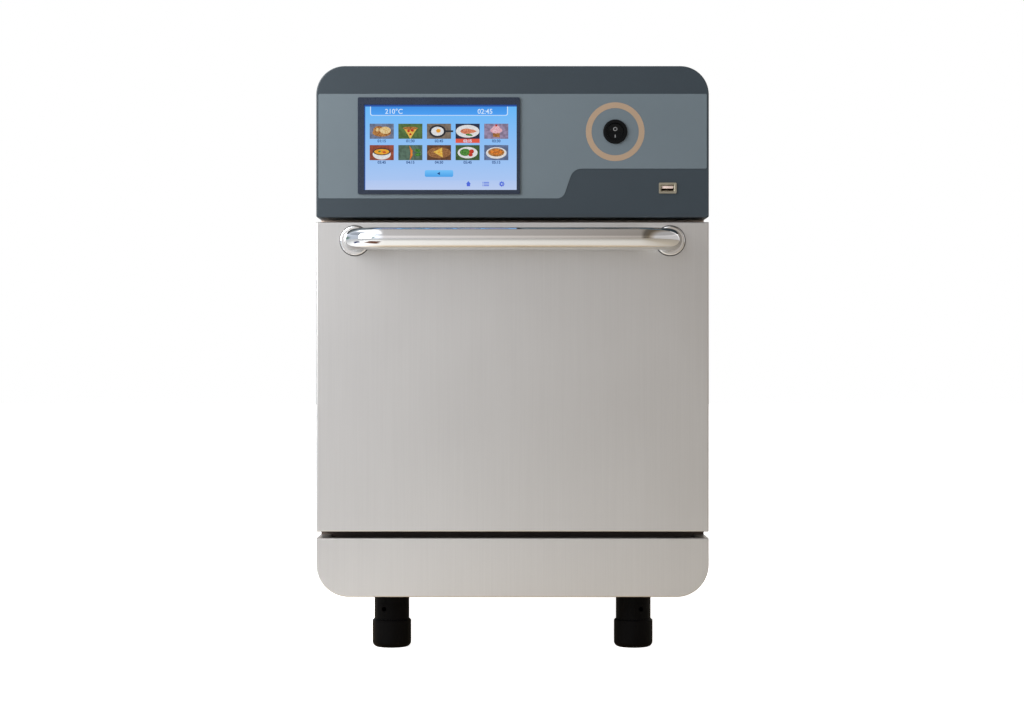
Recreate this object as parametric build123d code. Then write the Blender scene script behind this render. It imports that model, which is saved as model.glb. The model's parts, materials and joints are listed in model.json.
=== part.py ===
from build123d import *
import os
from math import cos, pi, radians, sin

# A countertop speed oven: a narrow steel cabinet on four short black legs.
# A slate control panel with a touch screen, a rocker switch and a USB socket
# stands over a full-width drop-down door with a bar handle, and a plain panel
# closes the foot. Inside are a cooking cavity with a hot-air jet plate, a blower
# and heater behind it, and a microwave feed with a stirrer under its floor.
# Millimetres, +Z up, front faces -Y. The origin is on the surface that the oven
# stands on, under the middle of its overall box.

# Overall sizes
body_width = 400.0
body_depth = 600.0
leg_height = 55.0
lower_panel_height = 60.0
lower_gap = 6.5
door_height = 315.5
upper_gap = 4.6
control_height = 154.4
top_radius = 29.0
bottom_radius = 33.0
door_thickness = 50.0
door_gap = 2.0
casing_inset = 1.0

# Sheet thicknesses
front_sheet = 1.5
cover_sheet = 1.2
pan_sheet = 1.5
frame_sheet = 2.0
liner_sheet = 1.5
duct_sheet = 1.5
rear_sheet = 1.2

# Clearances shared by many pieces
lap_clearance = 0.3
seat_clearance = 0.3
running_clearance = 0.05
screw_clearance = 0.2
overrun = 5.0

# Cooking cavity, by its distances from the cabinet's side and the door's foot and top
cavity_side_room = 44.0
cavity_rise = 78.5
cavity_drop = 57.0
cavity_radius = 12.0

# Machine room behind the cavity, from front to back
duct_rear_depth = 62.0
insulation_thickness = 22.0
magnetron_front_gap = 12.5
magnetron_half = 45.0
magnetron_rear_gap = 47.0

# Handle, which sets how far the oven reaches in front of its door
handle_inset = 39.5
handle_drop = 19.0
handle_radius = 11.0
handle_wall = 1.5
handle_standoff = 48.0
handle_bend = 33.0

# Filter channels, which set how far the oven reaches behind its rear panel
channel_depth = 14.0

# Places worked out from those sizes
handle_reach = handle_standoff + handle_radius
overall_depth = handle_reach + body_depth + channel_depth
front_y = handle_reach - overall_depth / 2
rear_y = front_y + body_depth
frame_y = front_y + door_thickness + door_gap
bay_y = frame_y + frame_sheet
lower_top = leg_height + lower_panel_height
door_low = lower_top + lower_gap
door_high = door_low + door_height
control_low = door_high + upper_gap
control_high = control_low + control_height
casing_half = body_width / 2 - casing_inset
casing_low = leg_height + casing_inset
casing_high = control_high - casing_inset
machine_room_depth = (liner_sheet + duct_rear_depth + insulation_thickness + magnetron_front_gap
                      + 2 * magnetron_half + magnetron_rear_gap)
cavity_width = body_width - 2 * cavity_side_room
cavity_height = door_height - cavity_rise - cavity_drop
cavity_half = cavity_width / 2
cavity_low = door_low + cavity_rise
cavity_high = cavity_low + cavity_height
cavity_back = rear_y - machine_room_depth
cavity_depth = cavity_back - bay_y
cavity_middle = (cavity_low + cavity_high) / 2
handle_z = door_high - handle_drop
handle_centres = body_width - 2 * handle_inset


def block(x0, x1, y0, y1, z0, z1):
    """A block between two opposite corners."""
    return Pos((x0 + x1) / 2, (y0 + y1) / 2, (z0 + z1) / 2) * Box(x1 - x0, y1 - y0, z1 - z0)


def bar(point, direction, radius, length):
    """A round bar that starts at a point and runs along a direction."""
    return extrude(Plane(origin=point, z_dir=direction) * Circle(radius), length)


def tube(point, direction, radius, bore, length):
    """A round tube that starts at a point and runs along a direction."""
    return extrude(Plane(origin=point, z_dir=direction) * (Circle(radius) - Circle(bore)), length)


def from_front(outline, y, depth):
    """An outline seen from the front, x across and z up, made solid from y backwards."""
    return extrude(Plane(origin=(0, y, 0), x_dir=(1, 0, 0), z_dir=(0, -1, 0)) * outline, -depth)


def from_side(outline, x, width):
    """An outline seen from the right, y across and z up, made solid from x to the right."""
    return extrude(Plane.YZ.offset(x) * outline, width)


def from_above(outline, z, height):
    """An outline seen from above, made solid from z upwards."""
    return extrude(Plane.XY.offset(z) * outline, height)


def group(solids):
    """Several separate solids as one piece."""
    return Compound(children=list(solids))


def rounded_outline(half, low, high, low_radius, high_radius):
    """A front-view rectangle with its own radius on the lower and the upper corners."""
    outline = Pos(0, (low + high) / 2) * Rectangle(2 * half, high - low)
    if high_radius > 0:
        outline = fillet(outline.vertices().group_by(Axis.Y)[-1], high_radius)
    if low_radius > 0:
        outline = fillet(outline.vertices().group_by(Axis.Y)[0], low_radius)
    return outline


def casing_outline(inset):
    """The cabinet's outline seen from the front, drawn in by an inset."""
    shrink = casing_inset + inset
    return rounded_outline(
        casing_half - inset,
        casing_low + inset,
        casing_high - inset,
        bottom_radius - shrink,
        top_radius - shrink,
    )


def cavity_outline(margin):
    """The cavity's opening seen from the front, grown by a margin."""
    return Pos(0, cavity_middle) * RectangleRounded(
        cavity_width + 2 * margin, cavity_height + 2 * margin, cavity_radius + margin
    )


def cavity_ring(inner_margin, outer_margin):
    """A rounded ring round the cavity's opening, seen from the front."""
    return cavity_outline(outer_margin) - cavity_outline(inner_margin)


def slot_rows(x_places, z_places, width, height, y, depth):
    """Rows of round-ended slots seen from the front, as cutting solids."""
    outline = SlotOverall(width, height)
    return [from_front(Pos(x, z) * outline, y, depth) for x in x_places for z in z_places]


def fit_count(room, pitch, width):
    """How many copies of one width fit in a room at a pitch."""
    return max(1, int((room - width) // pitch) + 1)


def spread(middle, pitch, count):
    """Evenly pitched places about a middle."""
    return [middle + pitch * (i - (count - 1) / 2) for i in range(count)]


# Casing screws, M4 with domed heads
screw_radius = 1.9
screw_head_radius = 4.0
screw_head_height = 2.2
screw_length = 8.0
screw_edge_distance = 7.0
rear_screw_shares = (0.13, 0.465, 0.80)
rear_screw_pitch = 100.0
top_screw_count = 3
low_screw_count = 2
side_screw_inset = 62.4
side_screw_count = 3

# Base pan and the cover that laps over its sides
seam_rise = 2.0
lap_height = 15.0
casing_flange = 13.0
pan_inset = cover_sheet + lap_clearance
pan_half = casing_half - pan_inset
cover_low = leg_height + bottom_radius + seam_rise
pan_high = cover_low + lap_height
pan_floor = casing_low + pan_sheet
casing_depth = rear_y - rear_sheet - bay_y
side_screw_z = cover_low + lap_height / 2
side_screw_middle = bay_y + casing_depth / 2
side_screw_pitch = (casing_depth - 2 * side_screw_inset) / (side_screw_count - 1)

# Leg places and the bolts that hold them
leg_setback = 42.0
leg_inset = 75.0
leg_bolt_radius = 4.0
leg_bolt_head_radius = 7.5
leg_bolt_head_height = 5.0
leg_half_spacing = body_width / 2 - leg_inset
front_leg_y = front_y + leg_setback
rear_leg_y = rear_y - leg_setback
leg_places = [(x, y) for x in (-leg_half_spacing, leg_half_spacing) for y in (front_leg_y, rear_leg_y)]


def rear_screw_places():
    """Where the rear panel's screws go, x and z."""
    side_x = casing_half - screw_edge_distance
    height = casing_high - casing_low
    sides = [(s * side_x, casing_low + share * height) for s in (-1, 1) for share in rear_screw_shares]
    top = [(x, casing_high - screw_edge_distance) for x in spread(0, rear_screw_pitch, top_screw_count)]
    low_z = casing_low + screw_edge_distance
    low = [(x, low_z) for x in spread(0, 2 * rear_screw_pitch, low_screw_count)]
    return sides + top + low


def screw_holes(y, depth):
    """The rear panel's screw holes as cutting solids."""
    radius = screw_radius + screw_clearance
    return [bar((x, y, z), (0, 1, 0), radius, depth) for x, z in rear_screw_places()]


def side_screw_holes():
    """The lap's screw holes on both sides as cutting solids."""
    radius = screw_radius + screw_clearance
    start = pan_half - pan_sheet - overrun
    length = casing_half + overrun - start
    return [bar((s * start, y, side_screw_z), (s, 0, 0), radius, length)
            for s in (-1, 1) for y in spread(side_screw_middle, side_screw_pitch, side_screw_count)]


pan_slot_length = 120.0
pan_slot_width = 6.0
pan_slot_pitch = 16.0
pan_slot_count = 9


def base_pan():
    """The folded floor of the cabinet, with rounded lower corners and a flange at each end."""
    radius = bottom_radius - casing_inset - pan_inset
    outer = rounded_outline(pan_half, casing_low, pan_high, radius, 0)
    inner = rounded_outline(pan_half - pan_sheet, pan_floor, pan_high + overrun, radius - pan_sheet, 0)
    inside = rounded_outline(
        pan_half - casing_flange, casing_low + casing_flange, pan_high + overrun, radius - casing_flange, 0
    )
    pan = from_front(outer - inner, bay_y, casing_depth)
    pan += from_front(outer - inside, bay_y, pan_sheet)
    pan += from_front(outer - inside, bay_y + casing_depth - pan_sheet, pan_sheet)
    slot = SlotOverall(pan_slot_length, pan_slot_width)
    cuts = [
        from_above(Pos(0, y) * slot, casing_low - overrun, pan_sheet + 2 * overrun)
        for y in spread(bay_y + casing_depth / 2, pan_slot_pitch, pan_slot_count)
    ]
    hole = leg_bolt_radius + screw_clearance
    cuts += [bar((x, rear_leg_y, casing_low - overrun), (0, 0, 1), hole, pan_sheet + 2 * overrun)
             for x in (-leg_half_spacing, leg_half_spacing)]
    cuts += side_screw_holes()
    cuts += screw_holes(rear_y - overrun * 2, overrun * 3)
    cuts.append(block(-body_width, body_width, rear_y - rear_sheet - cover_sheet - pan_sheet, rear_y,
                      cover_low - lap_clearance, pan_high + overrun))
    return pan - cuts


louvre_length = 70.0
louvre_height = 5.0
louvre_pitch = 14.0
louvre_rows = 7
louvre_columns = 2
louvre_column_pitch = 90.0
louvre_rise = 110.0
louvre_setback = 120.0


def outer_cover():
    """The wrap of top and sides in one folded sheet, with air slots low at the back of each side."""
    outer = casing_outline(0)
    inner = casing_outline(cover_sheet)
    inside = casing_outline(casing_flange)
    cover = from_front(outer - inner, bay_y, casing_depth)
    cover += from_front(outer - inside, bay_y + casing_depth - cover_sheet, cover_sheet)
    cover -= block(-body_width, body_width, bay_y - overrun, rear_y, 0, cover_low)
    slot = SlotOverall(louvre_length, louvre_height)
    cuts = []
    for y in spread(rear_y - louvre_setback, louvre_column_pitch, louvre_columns):
        for z in spread(cover_low + louvre_rise, louvre_pitch, louvre_rows):
            cuts.append(from_side(Pos(y, z) * slot, -body_width / 2, body_width))
    cuts += side_screw_holes()
    cuts += screw_holes(rear_y - overrun * 2, overrun * 3)
    return cover - cuts


def casing_screws():
    """The screws of the rear panel and of the lap between cover and pan."""
    screws = []
    heads = [((x, rear_y, z), (0, 1, 0)) for x, z in rear_screw_places()]
    heads += [((s * casing_half, y, side_screw_z), (s, 0, 0))
              for s in (-1, 1) for y in spread(side_screw_middle, side_screw_pitch, side_screw_count)]
    for point, out in heads:
        head = bar(point, out, screw_head_radius, screw_head_height)
        outer_edge = head.edges().sort_by(lambda e: Vector(e.center()).dot(Vector(out)))[-1]
        head = fillet(outer_edge, screw_head_height / 2)
        back = tuple(-v for v in out)
        screws.append(head + bar(point, back, screw_radius, screw_length))
    return group(screws)


# Cooling fan, filter and other openings in the rear panel
fan_inset = 85.0
fan_rise = 84.0
fan_size = 120.0
fan_depth = 25.0
fan_rim = 3.0
filter_inset = 88.0
filter_window = 104.0
filter_size = 124.0
filter_clearance = 0.5
vent_inset = 56.0
vent_rise = 20.0
vent_radius = 15.0
gland_gap = 24.0
gland_radius = 10.0
gland_hole_clearance = 0.2
rear_slot_length = 90.0
rear_slot_height = 5.0
rear_slot_pitch = 13.0
rear_slot_rows = 5
rear_slot_margin = 45.0
rear_slot_column_pitch = 104.0
rear_slot_drop = 70.0
channel_width = 10.0
channel_lip = 2.0
channel_wall = 1.5
channel_height = 118.0
fan_bore = fan_size / 2 - fan_rim
fan_x = fan_inset - body_width / 2
filter_x = body_width / 2 - filter_inset
fan_z = casing_low + fan_rise
gland_z = fan_z + fan_size / 2 + gland_gap
vent_x = cavity_half - vent_inset
vent_z = cavity_high + vent_rise


def rear_panel():
    """The rear panel with its fan and filter openings, air slots and the filter's welded channels."""
    y = rear_y - rear_sheet
    panel = from_front(casing_outline(0), y, rear_sheet)
    through = rear_sheet + 2 * overrun
    cuts = [bar((fan_x, y - overrun, fan_z), (0, 1, 0), fan_bore, through)]
    cuts.append(block(filter_x - filter_window / 2, filter_x + filter_window / 2, y - overrun, y + overrun,
                      fan_z - filter_window / 2, fan_z + filter_window / 2))
    cuts.append(bar((vent_x, y - overrun, vent_z), (0, 1, 0), vent_radius + seat_clearance, through))
    cuts.append(bar((0, y - overrun, gland_z), (0, 1, 0), gland_radius + gland_hole_clearance, through))
    columns = fit_count(2 * (casing_half - rear_slot_margin), rear_slot_column_pitch, rear_slot_length)
    cuts += slot_rows(
        spread(0, rear_slot_column_pitch, columns),
        spread(casing_high - rear_slot_drop, rear_slot_pitch, rear_slot_rows),
        rear_slot_length, rear_slot_height, y - overrun, through,
    )
    cuts += screw_holes(y - overrun, through)
    panel -= cuts
    low = fan_z - filter_size / 2
    inner = filter_size / 2 + filter_clearance
    lip_y = rear_y + channel_depth - channel_wall
    for s in (-1, 1):
        wall = sorted((filter_x + s * inner, filter_x + s * (inner + channel_wall)))
        foot = sorted((filter_x + s * (inner + channel_wall), filter_x + s * (inner + channel_width)))
        lip = sorted((filter_x + s * (inner - channel_lip), filter_x + s * (inner + channel_wall)))
        panel += block(*wall, rear_y, rear_y + channel_depth, low, low + channel_height)
        panel += block(*foot, rear_y, rear_y + channel_wall, low, low + channel_height)
        panel += block(*lip, lip_y, lip_y + channel_wall, low, low + channel_height)
    stop_low = low - filter_clearance - channel_wall
    panel += block(filter_x - inner, filter_x + inner, rear_y, rear_y + channel_depth,
                   stop_low, stop_low + channel_wall)
    return panel


filter_thickness = channel_depth - channel_wall - 2 * seat_clearance
filter_rim = 8.0
filter_mesh = 1.5
filter_cells = 9
filter_bar = 2.0
filter_pull_width = 40.0
filter_pull_height = 8.0


def filter_cassette():
    """The intake filter: a frame round a wire mesh, with a finger pull on top."""
    y = rear_y + seat_clearance
    half = filter_size / 2
    low = fan_z - half
    frame = block(filter_x - half, filter_x + half, y, y + filter_thickness, low, low + filter_size)
    inner = half - filter_rim
    frame -= block(filter_x - inner, filter_x + inner, y - overrun, y + filter_thickness + overrun,
                   fan_z - inner, fan_z + inner)
    mesh_y = y + (filter_thickness - filter_mesh) / 2
    mesh = Rectangle(2 * inner, 2 * inner)
    pitch = (2 * inner + filter_bar) / filter_cells
    cell = Rectangle(pitch - filter_bar, pitch - filter_bar)
    places = spread(0, pitch, filter_cells)
    mesh -= [Pos(x, z) * cell for x in places for z in places]
    frame += from_front(Pos(filter_x, fan_z) * mesh, mesh_y, filter_mesh)
    pull = filter_pull_width / 2
    frame += block(filter_x - pull, filter_x + pull, y, y + filter_mesh,
                   low + filter_size, low + filter_size + filter_pull_height)
    return frame


# Front frame, the plate behind the door
wiring_width = 60.0
wiring_height = 40.0
intake_slot_length = 60.0
intake_slot_height = 6.0
intake_slot_pitch = 12.0
intake_rows = 3
intake_margin = 55.0
intake_column_pitch = 72.0

# Door hinges: arms fixed to the frame, and pins that the door turns on
hinge_inset = 35.0
hinge_setback = 10.0
hinge_rise = 8.5
hinge_arm_width = 5.0
hinge_eye_radius = 6.5
hinge_pin_radius = 3.0
hinge_slot_clearance = 1.5
hinge_flange_width = 30.0
hinge_flange_height = 44.0
hinge_flange_thickness = 3.0
hinge_x = body_width / 2 - hinge_inset
hinge_y = front_y + hinge_setback
hinge_z = door_low + hinge_rise

# Door fingers that press the interlock switches
finger_inset = 50.0
finger_thickness = 4.0
finger_low_drop = 25.0
finger_height = 12.0
finger_reach = 24.0
finger_side_clearance = 1.5
finger_rise_clearance = 8.0
finger_foot_half = 8.0
finger_foot_sheet = 1.5
finger_foot_margin = 3.5
finger_x = body_width / 2 - finger_inset
finger_low = door_high - finger_low_drop
finger_high = finger_low + finger_height
finger_y = front_y + door_thickness
finger_tip_y = finger_y + finger_reach


def front_frame():
    """The plate round the cavity's mouth, slotted for the hinge arms, door fingers, air and wiring."""
    frame = from_front(casing_outline(0), frame_y, frame_sheet)
    y = frame_y - overrun
    through = frame_sheet + 2 * overrun
    cuts = [from_front(cavity_outline(0), y, through)]
    control_middle = (control_low + control_high) / 2
    cuts.append(from_front(Pos(0, control_middle) * Rectangle(wiring_width, wiring_height), y, through))
    columns = fit_count(2 * (casing_half - intake_margin), intake_column_pitch, intake_slot_length)
    cuts += slot_rows(
        spread(0, intake_column_pitch, columns),
        spread((leg_height + lower_top) / 2, intake_slot_pitch, intake_rows),
        intake_slot_length, intake_slot_height, y, through,
    )
    arm_half = hinge_arm_width / 2 + lap_clearance
    arm_rise = hinge_eye_radius + lap_clearance
    finger_half = finger_thickness / 2 + finger_side_clearance
    for s in (-1, 1):
        cuts.append(block(s * hinge_x - arm_half, s * hinge_x + arm_half, y, y + through,
                          hinge_z - arm_rise, hinge_z + arm_rise))
        cuts.append(block(s * finger_x - finger_half, s * finger_x + finger_half, y, y + through,
                          finger_low - finger_side_clearance, finger_high + finger_rise_clearance))
    return frame - cuts


def hinge_brackets():
    """The two arms that reach forward through the frame, each with an eye for its pin."""
    brackets = []
    back = bay_y + hinge_flange_thickness
    for s in (-1, 1):
        x = s * hinge_x - hinge_arm_width / 2
        arm = Pos((hinge_y + back) / 2, hinge_z) * Rectangle(back - hinge_y, 2 * hinge_eye_radius)
        arm += Pos(hinge_y, hinge_z) * Circle(hinge_eye_radius)
        arm -= Pos(hinge_y, hinge_z) * Circle(hinge_pin_radius + running_clearance)
        bracket = from_side(arm, x, hinge_arm_width)
        half = hinge_flange_width / 2
        bracket += block(s * hinge_x - half, s * hinge_x + half, bay_y, back,
                         hinge_z - hinge_flange_height / 2, hinge_z + hinge_flange_height / 2)
        brackets.append(bracket)
    return group(brackets)


front_edge_radius = 1.2
front_flange = 12.0
lower_lip_depth = 15.0
housing_low_radius = 2.0


def hollow_front(outer, inner, flange):
    """A shallow box front: a face with rounded edges, its rim, and a flange against the frame."""
    depth = frame_y - front_y
    shell = from_front(outer, front_y, depth)
    face = shell.faces().sort_by(Axis.Y)[0]
    shell = fillet(face.edges(), front_edge_radius)
    shell -= from_front(inner, front_y + front_sheet, depth)
    shell += from_front(inner - flange, frame_y - front_sheet, front_sheet)
    return shell


def lower_front_panel():
    """The panel at the foot, open at the back of its top for the intake air."""
    half = body_width / 2
    outer = rounded_outline(half, leg_height, lower_top, bottom_radius, 0)
    inner = rounded_outline(half - front_sheet, leg_height + front_sheet, lower_top - front_sheet,
                            bottom_radius - front_sheet, 0)
    flange = rounded_outline(half - front_flange, leg_height + front_flange, lower_top,
                             bottom_radius - front_flange, 0)
    panel = hollow_front(outer, inner, flange)
    panel -= block(-half + front_flange, half - front_flange, front_y + lower_lip_depth, frame_y + overrun,
                   lower_top - front_sheet - overrun, lower_top + overrun)
    hole = leg_bolt_radius + screw_clearance
    panel -= [bar((x, front_leg_y, leg_height - overrun), (0, 0, 1), hole, front_sheet + 2 * overrun)
              for x in (-leg_half_spacing, leg_half_spacing)]
    return panel


# Display, placed from the control box's left side and foot
display_inset = 125.0
display_rise = 73.0
bezel_width = 165.0
bezel_height = 98.5
bezel_proud = 1.6
bezel_lip = 2.0
bezel_radius = 1.5
bezel_barrel_depth = 2.0
screen_left_border = 6.55
screen_right_border = 3.35
screen_top_border = 7.3
screen_low_border = 4.3
glass_thickness = 1.8
module_thickness = 6.0
overlay_film = 0.4
display_x = display_inset - body_width / 2
display_z = control_low + display_rise
film_y = front_y - overlay_film
barrel_back_y = front_y + front_sheet + bezel_barrel_depth
screen_width = bezel_width - screen_left_border - screen_right_border
screen_height = bezel_height - screen_top_border - screen_low_border
screen_x = display_x + (screen_left_border - screen_right_border) / 2
screen_z = display_z + (screen_low_border - screen_top_border) / 2

# Rocker switch and the printed ring round it
rocker_inset = 95.5
rocker_rise = 87.4
rocker_flange_radius = 12.4
rocker_flange_thickness = 2.0
rocker_barrel_radius = 10.0
rocker_barrel_depth = 20.0
rocker_ball_radius = 8.6
rocker_pocket_clearance = 0.3
rocker_pocket_depth = 11.0
rocker_pin_radius = 1.0
rocker_setback = 2.6
rocker_half_angle = 10.0
rocker_proud = 2.2
rocker_back = 4.0
rocker_x = body_width / 2 - rocker_inset
rocker_z = control_low + rocker_rise
rocker_pivot_y = film_y - rocker_flange_thickness + rocker_setback

# USB socket
usb_inset = 42.0
usb_rise = 30.0
usb_flange_width = 18.0
usb_flange_height = 11.0
usb_flange_thickness = 1.2
usb_body_width = 14.5
usb_body_height = 7.2
usb_body_depth = 15.0
usb_mouth_width = 12.5
usb_mouth_height = 5.1
usb_flare = 1.1
usb_flare_depth = 1.2
usb_tongue_width = 11.0
usb_tongue_height = 1.8
usb_tongue_setback = 1.5
usb_wall = 1.2
usb_x = body_width / 2 - usb_inset
usb_z = control_low + usb_rise


def control_housing():
    """The slate control box over the door, with windows for screen, switch and socket."""
    half = body_width / 2
    outer = rounded_outline(half, control_low, control_high, housing_low_radius, top_radius)
    inner = rounded_outline(half - front_sheet, control_low + front_sheet, control_high - front_sheet,
                            0, top_radius - front_sheet)
    flange = rounded_outline(half - front_flange, control_low + front_flange, control_high - front_flange,
                             0, top_radius - front_flange)
    housing = hollow_front(outer, inner, flange)
    through = front_sheet + 2 * overrun
    y = front_y - overrun
    barrel = Rectangle(bezel_width - 2 * bezel_lip + 2 * lap_clearance,
                       bezel_height - 2 * bezel_lip + 2 * lap_clearance)
    housing -= from_front(Pos(display_x, display_z) * barrel, y, through)
    housing -= bar((rocker_x, y, rocker_z), (0, 1, 0), rocker_barrel_radius + lap_clearance, through)
    socket = Rectangle(usb_body_width + 2 * lap_clearance, usb_body_height + 2 * lap_clearance)
    housing -= from_front(Pos(usb_x, usb_z) * socket, y, through)
    return housing


overlay_margin = 2.2
overlay_top_drop = 28.5
overlay_low_rise = 19.5
overlay_step_rise = 49.8
overlay_step_inset = 148.6
overlay_step_run = 10.5
overlay_step_low_radius = 8.5
overlay_step_high_radius = 12.0
overlay_corner_radius = 1.5


def graphic_overlay():
    """The lighter grey film on the control box, stepped up beside the USB socket."""
    half = body_width / 2 - overlay_margin
    low = control_low + overlay_low_rise
    step = control_low + overlay_step_rise
    step_x = body_width / 2 - overlay_step_inset
    high = control_high - overlay_top_drop
    film = Polygon((-half, low), (step_x, low), (step_x + overlay_step_run, step), (half, step),
                   (half, high), (-half, high), align=None)
    film = fillet([v for v in film.vertices() if abs(v.X) > half - overrun], overlay_corner_radius)
    film = fillet([v for v in film.vertices() if abs(v.X - step_x) < overrun], overlay_step_low_radius)
    film = fillet([v for v in film.vertices() if abs(v.X - step_x - overlay_step_run) < overrun],
                  overlay_step_high_radius)
    film -= Pos(display_x, display_z) * Rectangle(bezel_width - bezel_lip, bezel_height - bezel_lip)
    film -= Pos(rocker_x, rocker_z) * Circle(rocker_barrel_radius + lap_clearance)
    return from_front(film, film_y, overlay_film)


def display_bezel():
    """The dark frame round the screen, with a barrel that drops through the housing's window."""
    place = Pos(display_x, display_z)
    rim = RectangleRounded(bezel_width, bezel_height, bezel_radius)
    barrel = Rectangle(bezel_width - 2 * bezel_lip, bezel_height - 2 * bezel_lip)
    window = Pos(screen_x, screen_z) * Rectangle(screen_width, screen_height)
    bezel = from_front(place * rim - window, film_y - bezel_proud, bezel_proud)
    return bezel + from_front(place * barrel - window, film_y, barrel_back_y - film_y)


def touch_glass():
    """The touch glass behind the bezel."""
    sheet = Pos(display_x, display_z) * Rectangle(bezel_width, bezel_height)
    return from_front(sheet, barrel_back_y, glass_thickness)


def lcd_module():
    """The screen's metal-backed module behind the glass."""
    sheet = Pos(display_x, display_z) * Rectangle(bezel_width, bezel_height)
    return from_front(sheet, barrel_back_y + glass_thickness, module_thickness)


board_width = 140.0
board_height = 84.0
board_sheet = 1.6
board_post_radius = 3.0
board_post_length = 8.0
board_post_inset = 6.0
board_chips_share = ((-0.30, 0.20, 0.16, 0.26), (0.05, 0.22, 0.22, 0.18), (0.32, -0.10, 0.12, 0.40),
                     (-0.10, -0.25, 0.30, 0.16))
board_chip_height = 4.0


def control_board():
    """The circuit board on four posts behind the screen module."""
    y = barrel_back_y + glass_thickness + module_thickness
    board = from_front(Pos(display_x, display_z) * Rectangle(board_width, board_height),
                       y + board_post_length, board_sheet)
    for sx in (-1, 1):
        for sz in (-1, 1):
            x = display_x + sx * (board_width / 2 - board_post_inset)
            z = display_z + sz * (board_height / 2 - board_post_inset)
            board += bar((x, y, z), (0, 1, 0), board_post_radius, board_post_length)
    for x_share, z_share, width_share, height_share in board_chips_share:
        chip = Pos(display_x + x_share * board_width, display_z + z_share * board_height) * Rectangle(
            width_share * board_width, height_share * board_height)
        board += from_front(chip, y + board_post_length + board_sheet, board_chip_height)
    return board


rocker_blade_width = 4.8
rocker_blade_thickness = 0.8
rocker_blade_length = 6.0


def rocker_housing():
    """The switch body: a round flange on the film, a barrel behind it and two terminals."""
    y = film_y - rocker_flange_thickness
    body = bar((rocker_x, y, rocker_z), (0, 1, 0), rocker_flange_radius, rocker_flange_thickness)
    edge = body.faces().sort_by(Axis.Y)[0].edges()
    body = fillet(edge, rocker_flange_thickness / 2)
    body += bar((rocker_x, film_y, rocker_z), (0, 1, 0), rocker_barrel_radius, rocker_barrel_depth)
    pocket = rocker_ball_radius + rocker_pocket_clearance
    body -= bar((rocker_x, y - overrun, rocker_z), (0, 1, 0), pocket, rocker_pocket_depth + overrun)
    pin_hole = rocker_pin_radius + running_clearance
    body -= bar((rocker_x - rocker_barrel_radius, rocker_pivot_y, rocker_z), (1, 0, 0), pin_hole,
                2 * rocker_barrel_radius)
    back = film_y + rocker_barrel_depth
    for s in (-1, 1):
        z = rocker_z + s * rocker_barrel_radius / 2
        body += block(rocker_x - rocker_blade_width / 2, rocker_x + rocker_blade_width / 2,
                      back, back + rocker_blade_length,
                      z - rocker_blade_thickness / 2, z + rocker_blade_thickness / 2)
    return body


def rocker_paddle():
    """The rocking paddle: a slice of a ball with a shallow V face, on two trunnions."""
    ball = Pos(rocker_x, rocker_pivot_y, rocker_z) * Sphere(rocker_ball_radius)
    rise = rocker_ball_radius * sin(radians(rocker_half_angle))
    y = rocker_pivot_y
    reach = rocker_ball_radius
    profile = Polygon((y + rocker_back, rocker_z - reach), (y + rocker_back, rocker_z + reach),
                      (y - rocker_proud, rocker_z + reach), (y - rocker_proud + rise, rocker_z),
                      (y - rocker_proud, rocker_z - reach), align=None)
    turned = Rot(0, 0, 0) * from_side(profile, rocker_x - reach, 2 * reach)
    paddle = ball & turned
    tip = rocker_barrel_radius - running_clearance
    paddle += bar((rocker_x - tip, y, rocker_z), (1, 0, 0), rocker_pin_radius, 2 * tip)
    pivot = Location((rocker_x, y, rocker_z))
    tilt = pivot * Rot(rocker_half_angle, 0, 0) * pivot.inverse()
    return tilt * paddle


def usb_port():
    """The USB socket: a flanged shell with its contact tongue."""
    place = Pos(usb_x, usb_z)
    y = front_y - usb_flange_thickness
    flange = RectangleRounded(usb_flange_width, usb_flange_height, usb_wall)
    port = from_front(place * flange, y, usb_flange_thickness)
    port += from_front(place * Rectangle(usb_body_width, usb_body_height), front_y, usb_body_depth)
    depth = usb_flange_thickness + usb_body_depth - usb_wall
    mouth = place * Rectangle(usb_mouth_width, usb_mouth_height)
    flared = place * Rectangle(usb_mouth_width + 2 * usb_flare, usb_mouth_height + 2 * usb_flare)
    port -= from_front(mouth, y, depth)
    port -= loft([Plane(origin=(0, y + back, 0), x_dir=(1, 0, 0), z_dir=(0, -1, 0)) * outline
                  for back, outline in ((0, flared), (usb_flare_depth, mouth))])
    tongue_z = usb_z + usb_mouth_height / 2 - usb_tongue_height - (usb_mouth_height - usb_tongue_height) / 4
    port += block(usb_x - usb_tongue_width / 2, usb_x + usb_tongue_width / 2,
                  y + usb_tongue_setback, y + depth, tongue_z, tongue_z + usb_tongue_height)
    return port


# Door: choke channel and gasket round the cavity, measured out from its opening
inner_sheet = 1.5
choke_inner = 4.0
choke_outer = 16.0
choke_depth = 30.0
choke_wall = 1.2
choke_cover_sheet = 2.0
gasket_inner = 20.0
gasket_outer = 26.5
gasket_channel_depth = 5.0
gasket_channel_wall = 1.0
door_edge_radius = 1.5
hinge_notch_half = 4.5
hinge_notch_rise = 16.5
hinge_notch_setback = 2.5
door_back_y = front_y + door_thickness
door_inner_y = door_back_y - inner_sheet


def hinge_notches(y0, y1):
    """The two notches at the door's foot that the hinge arms pass through."""
    return [block(s * hinge_x - hinge_notch_half, s * hinge_x + hinge_notch_half, y0, y1,
                  door_low - overrun, door_low + hinge_notch_rise) for s in (-1, 1)]


handle_bolt_radius = 4.0
handle_bolt_head_radius = 7.0
handle_bolt_head_height = 5.0
handle_bolt_room = 1.0
handle_plug = handle_standoff - handle_bend
handle_bolt_grip = handle_plug - handle_bolt_room


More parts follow.
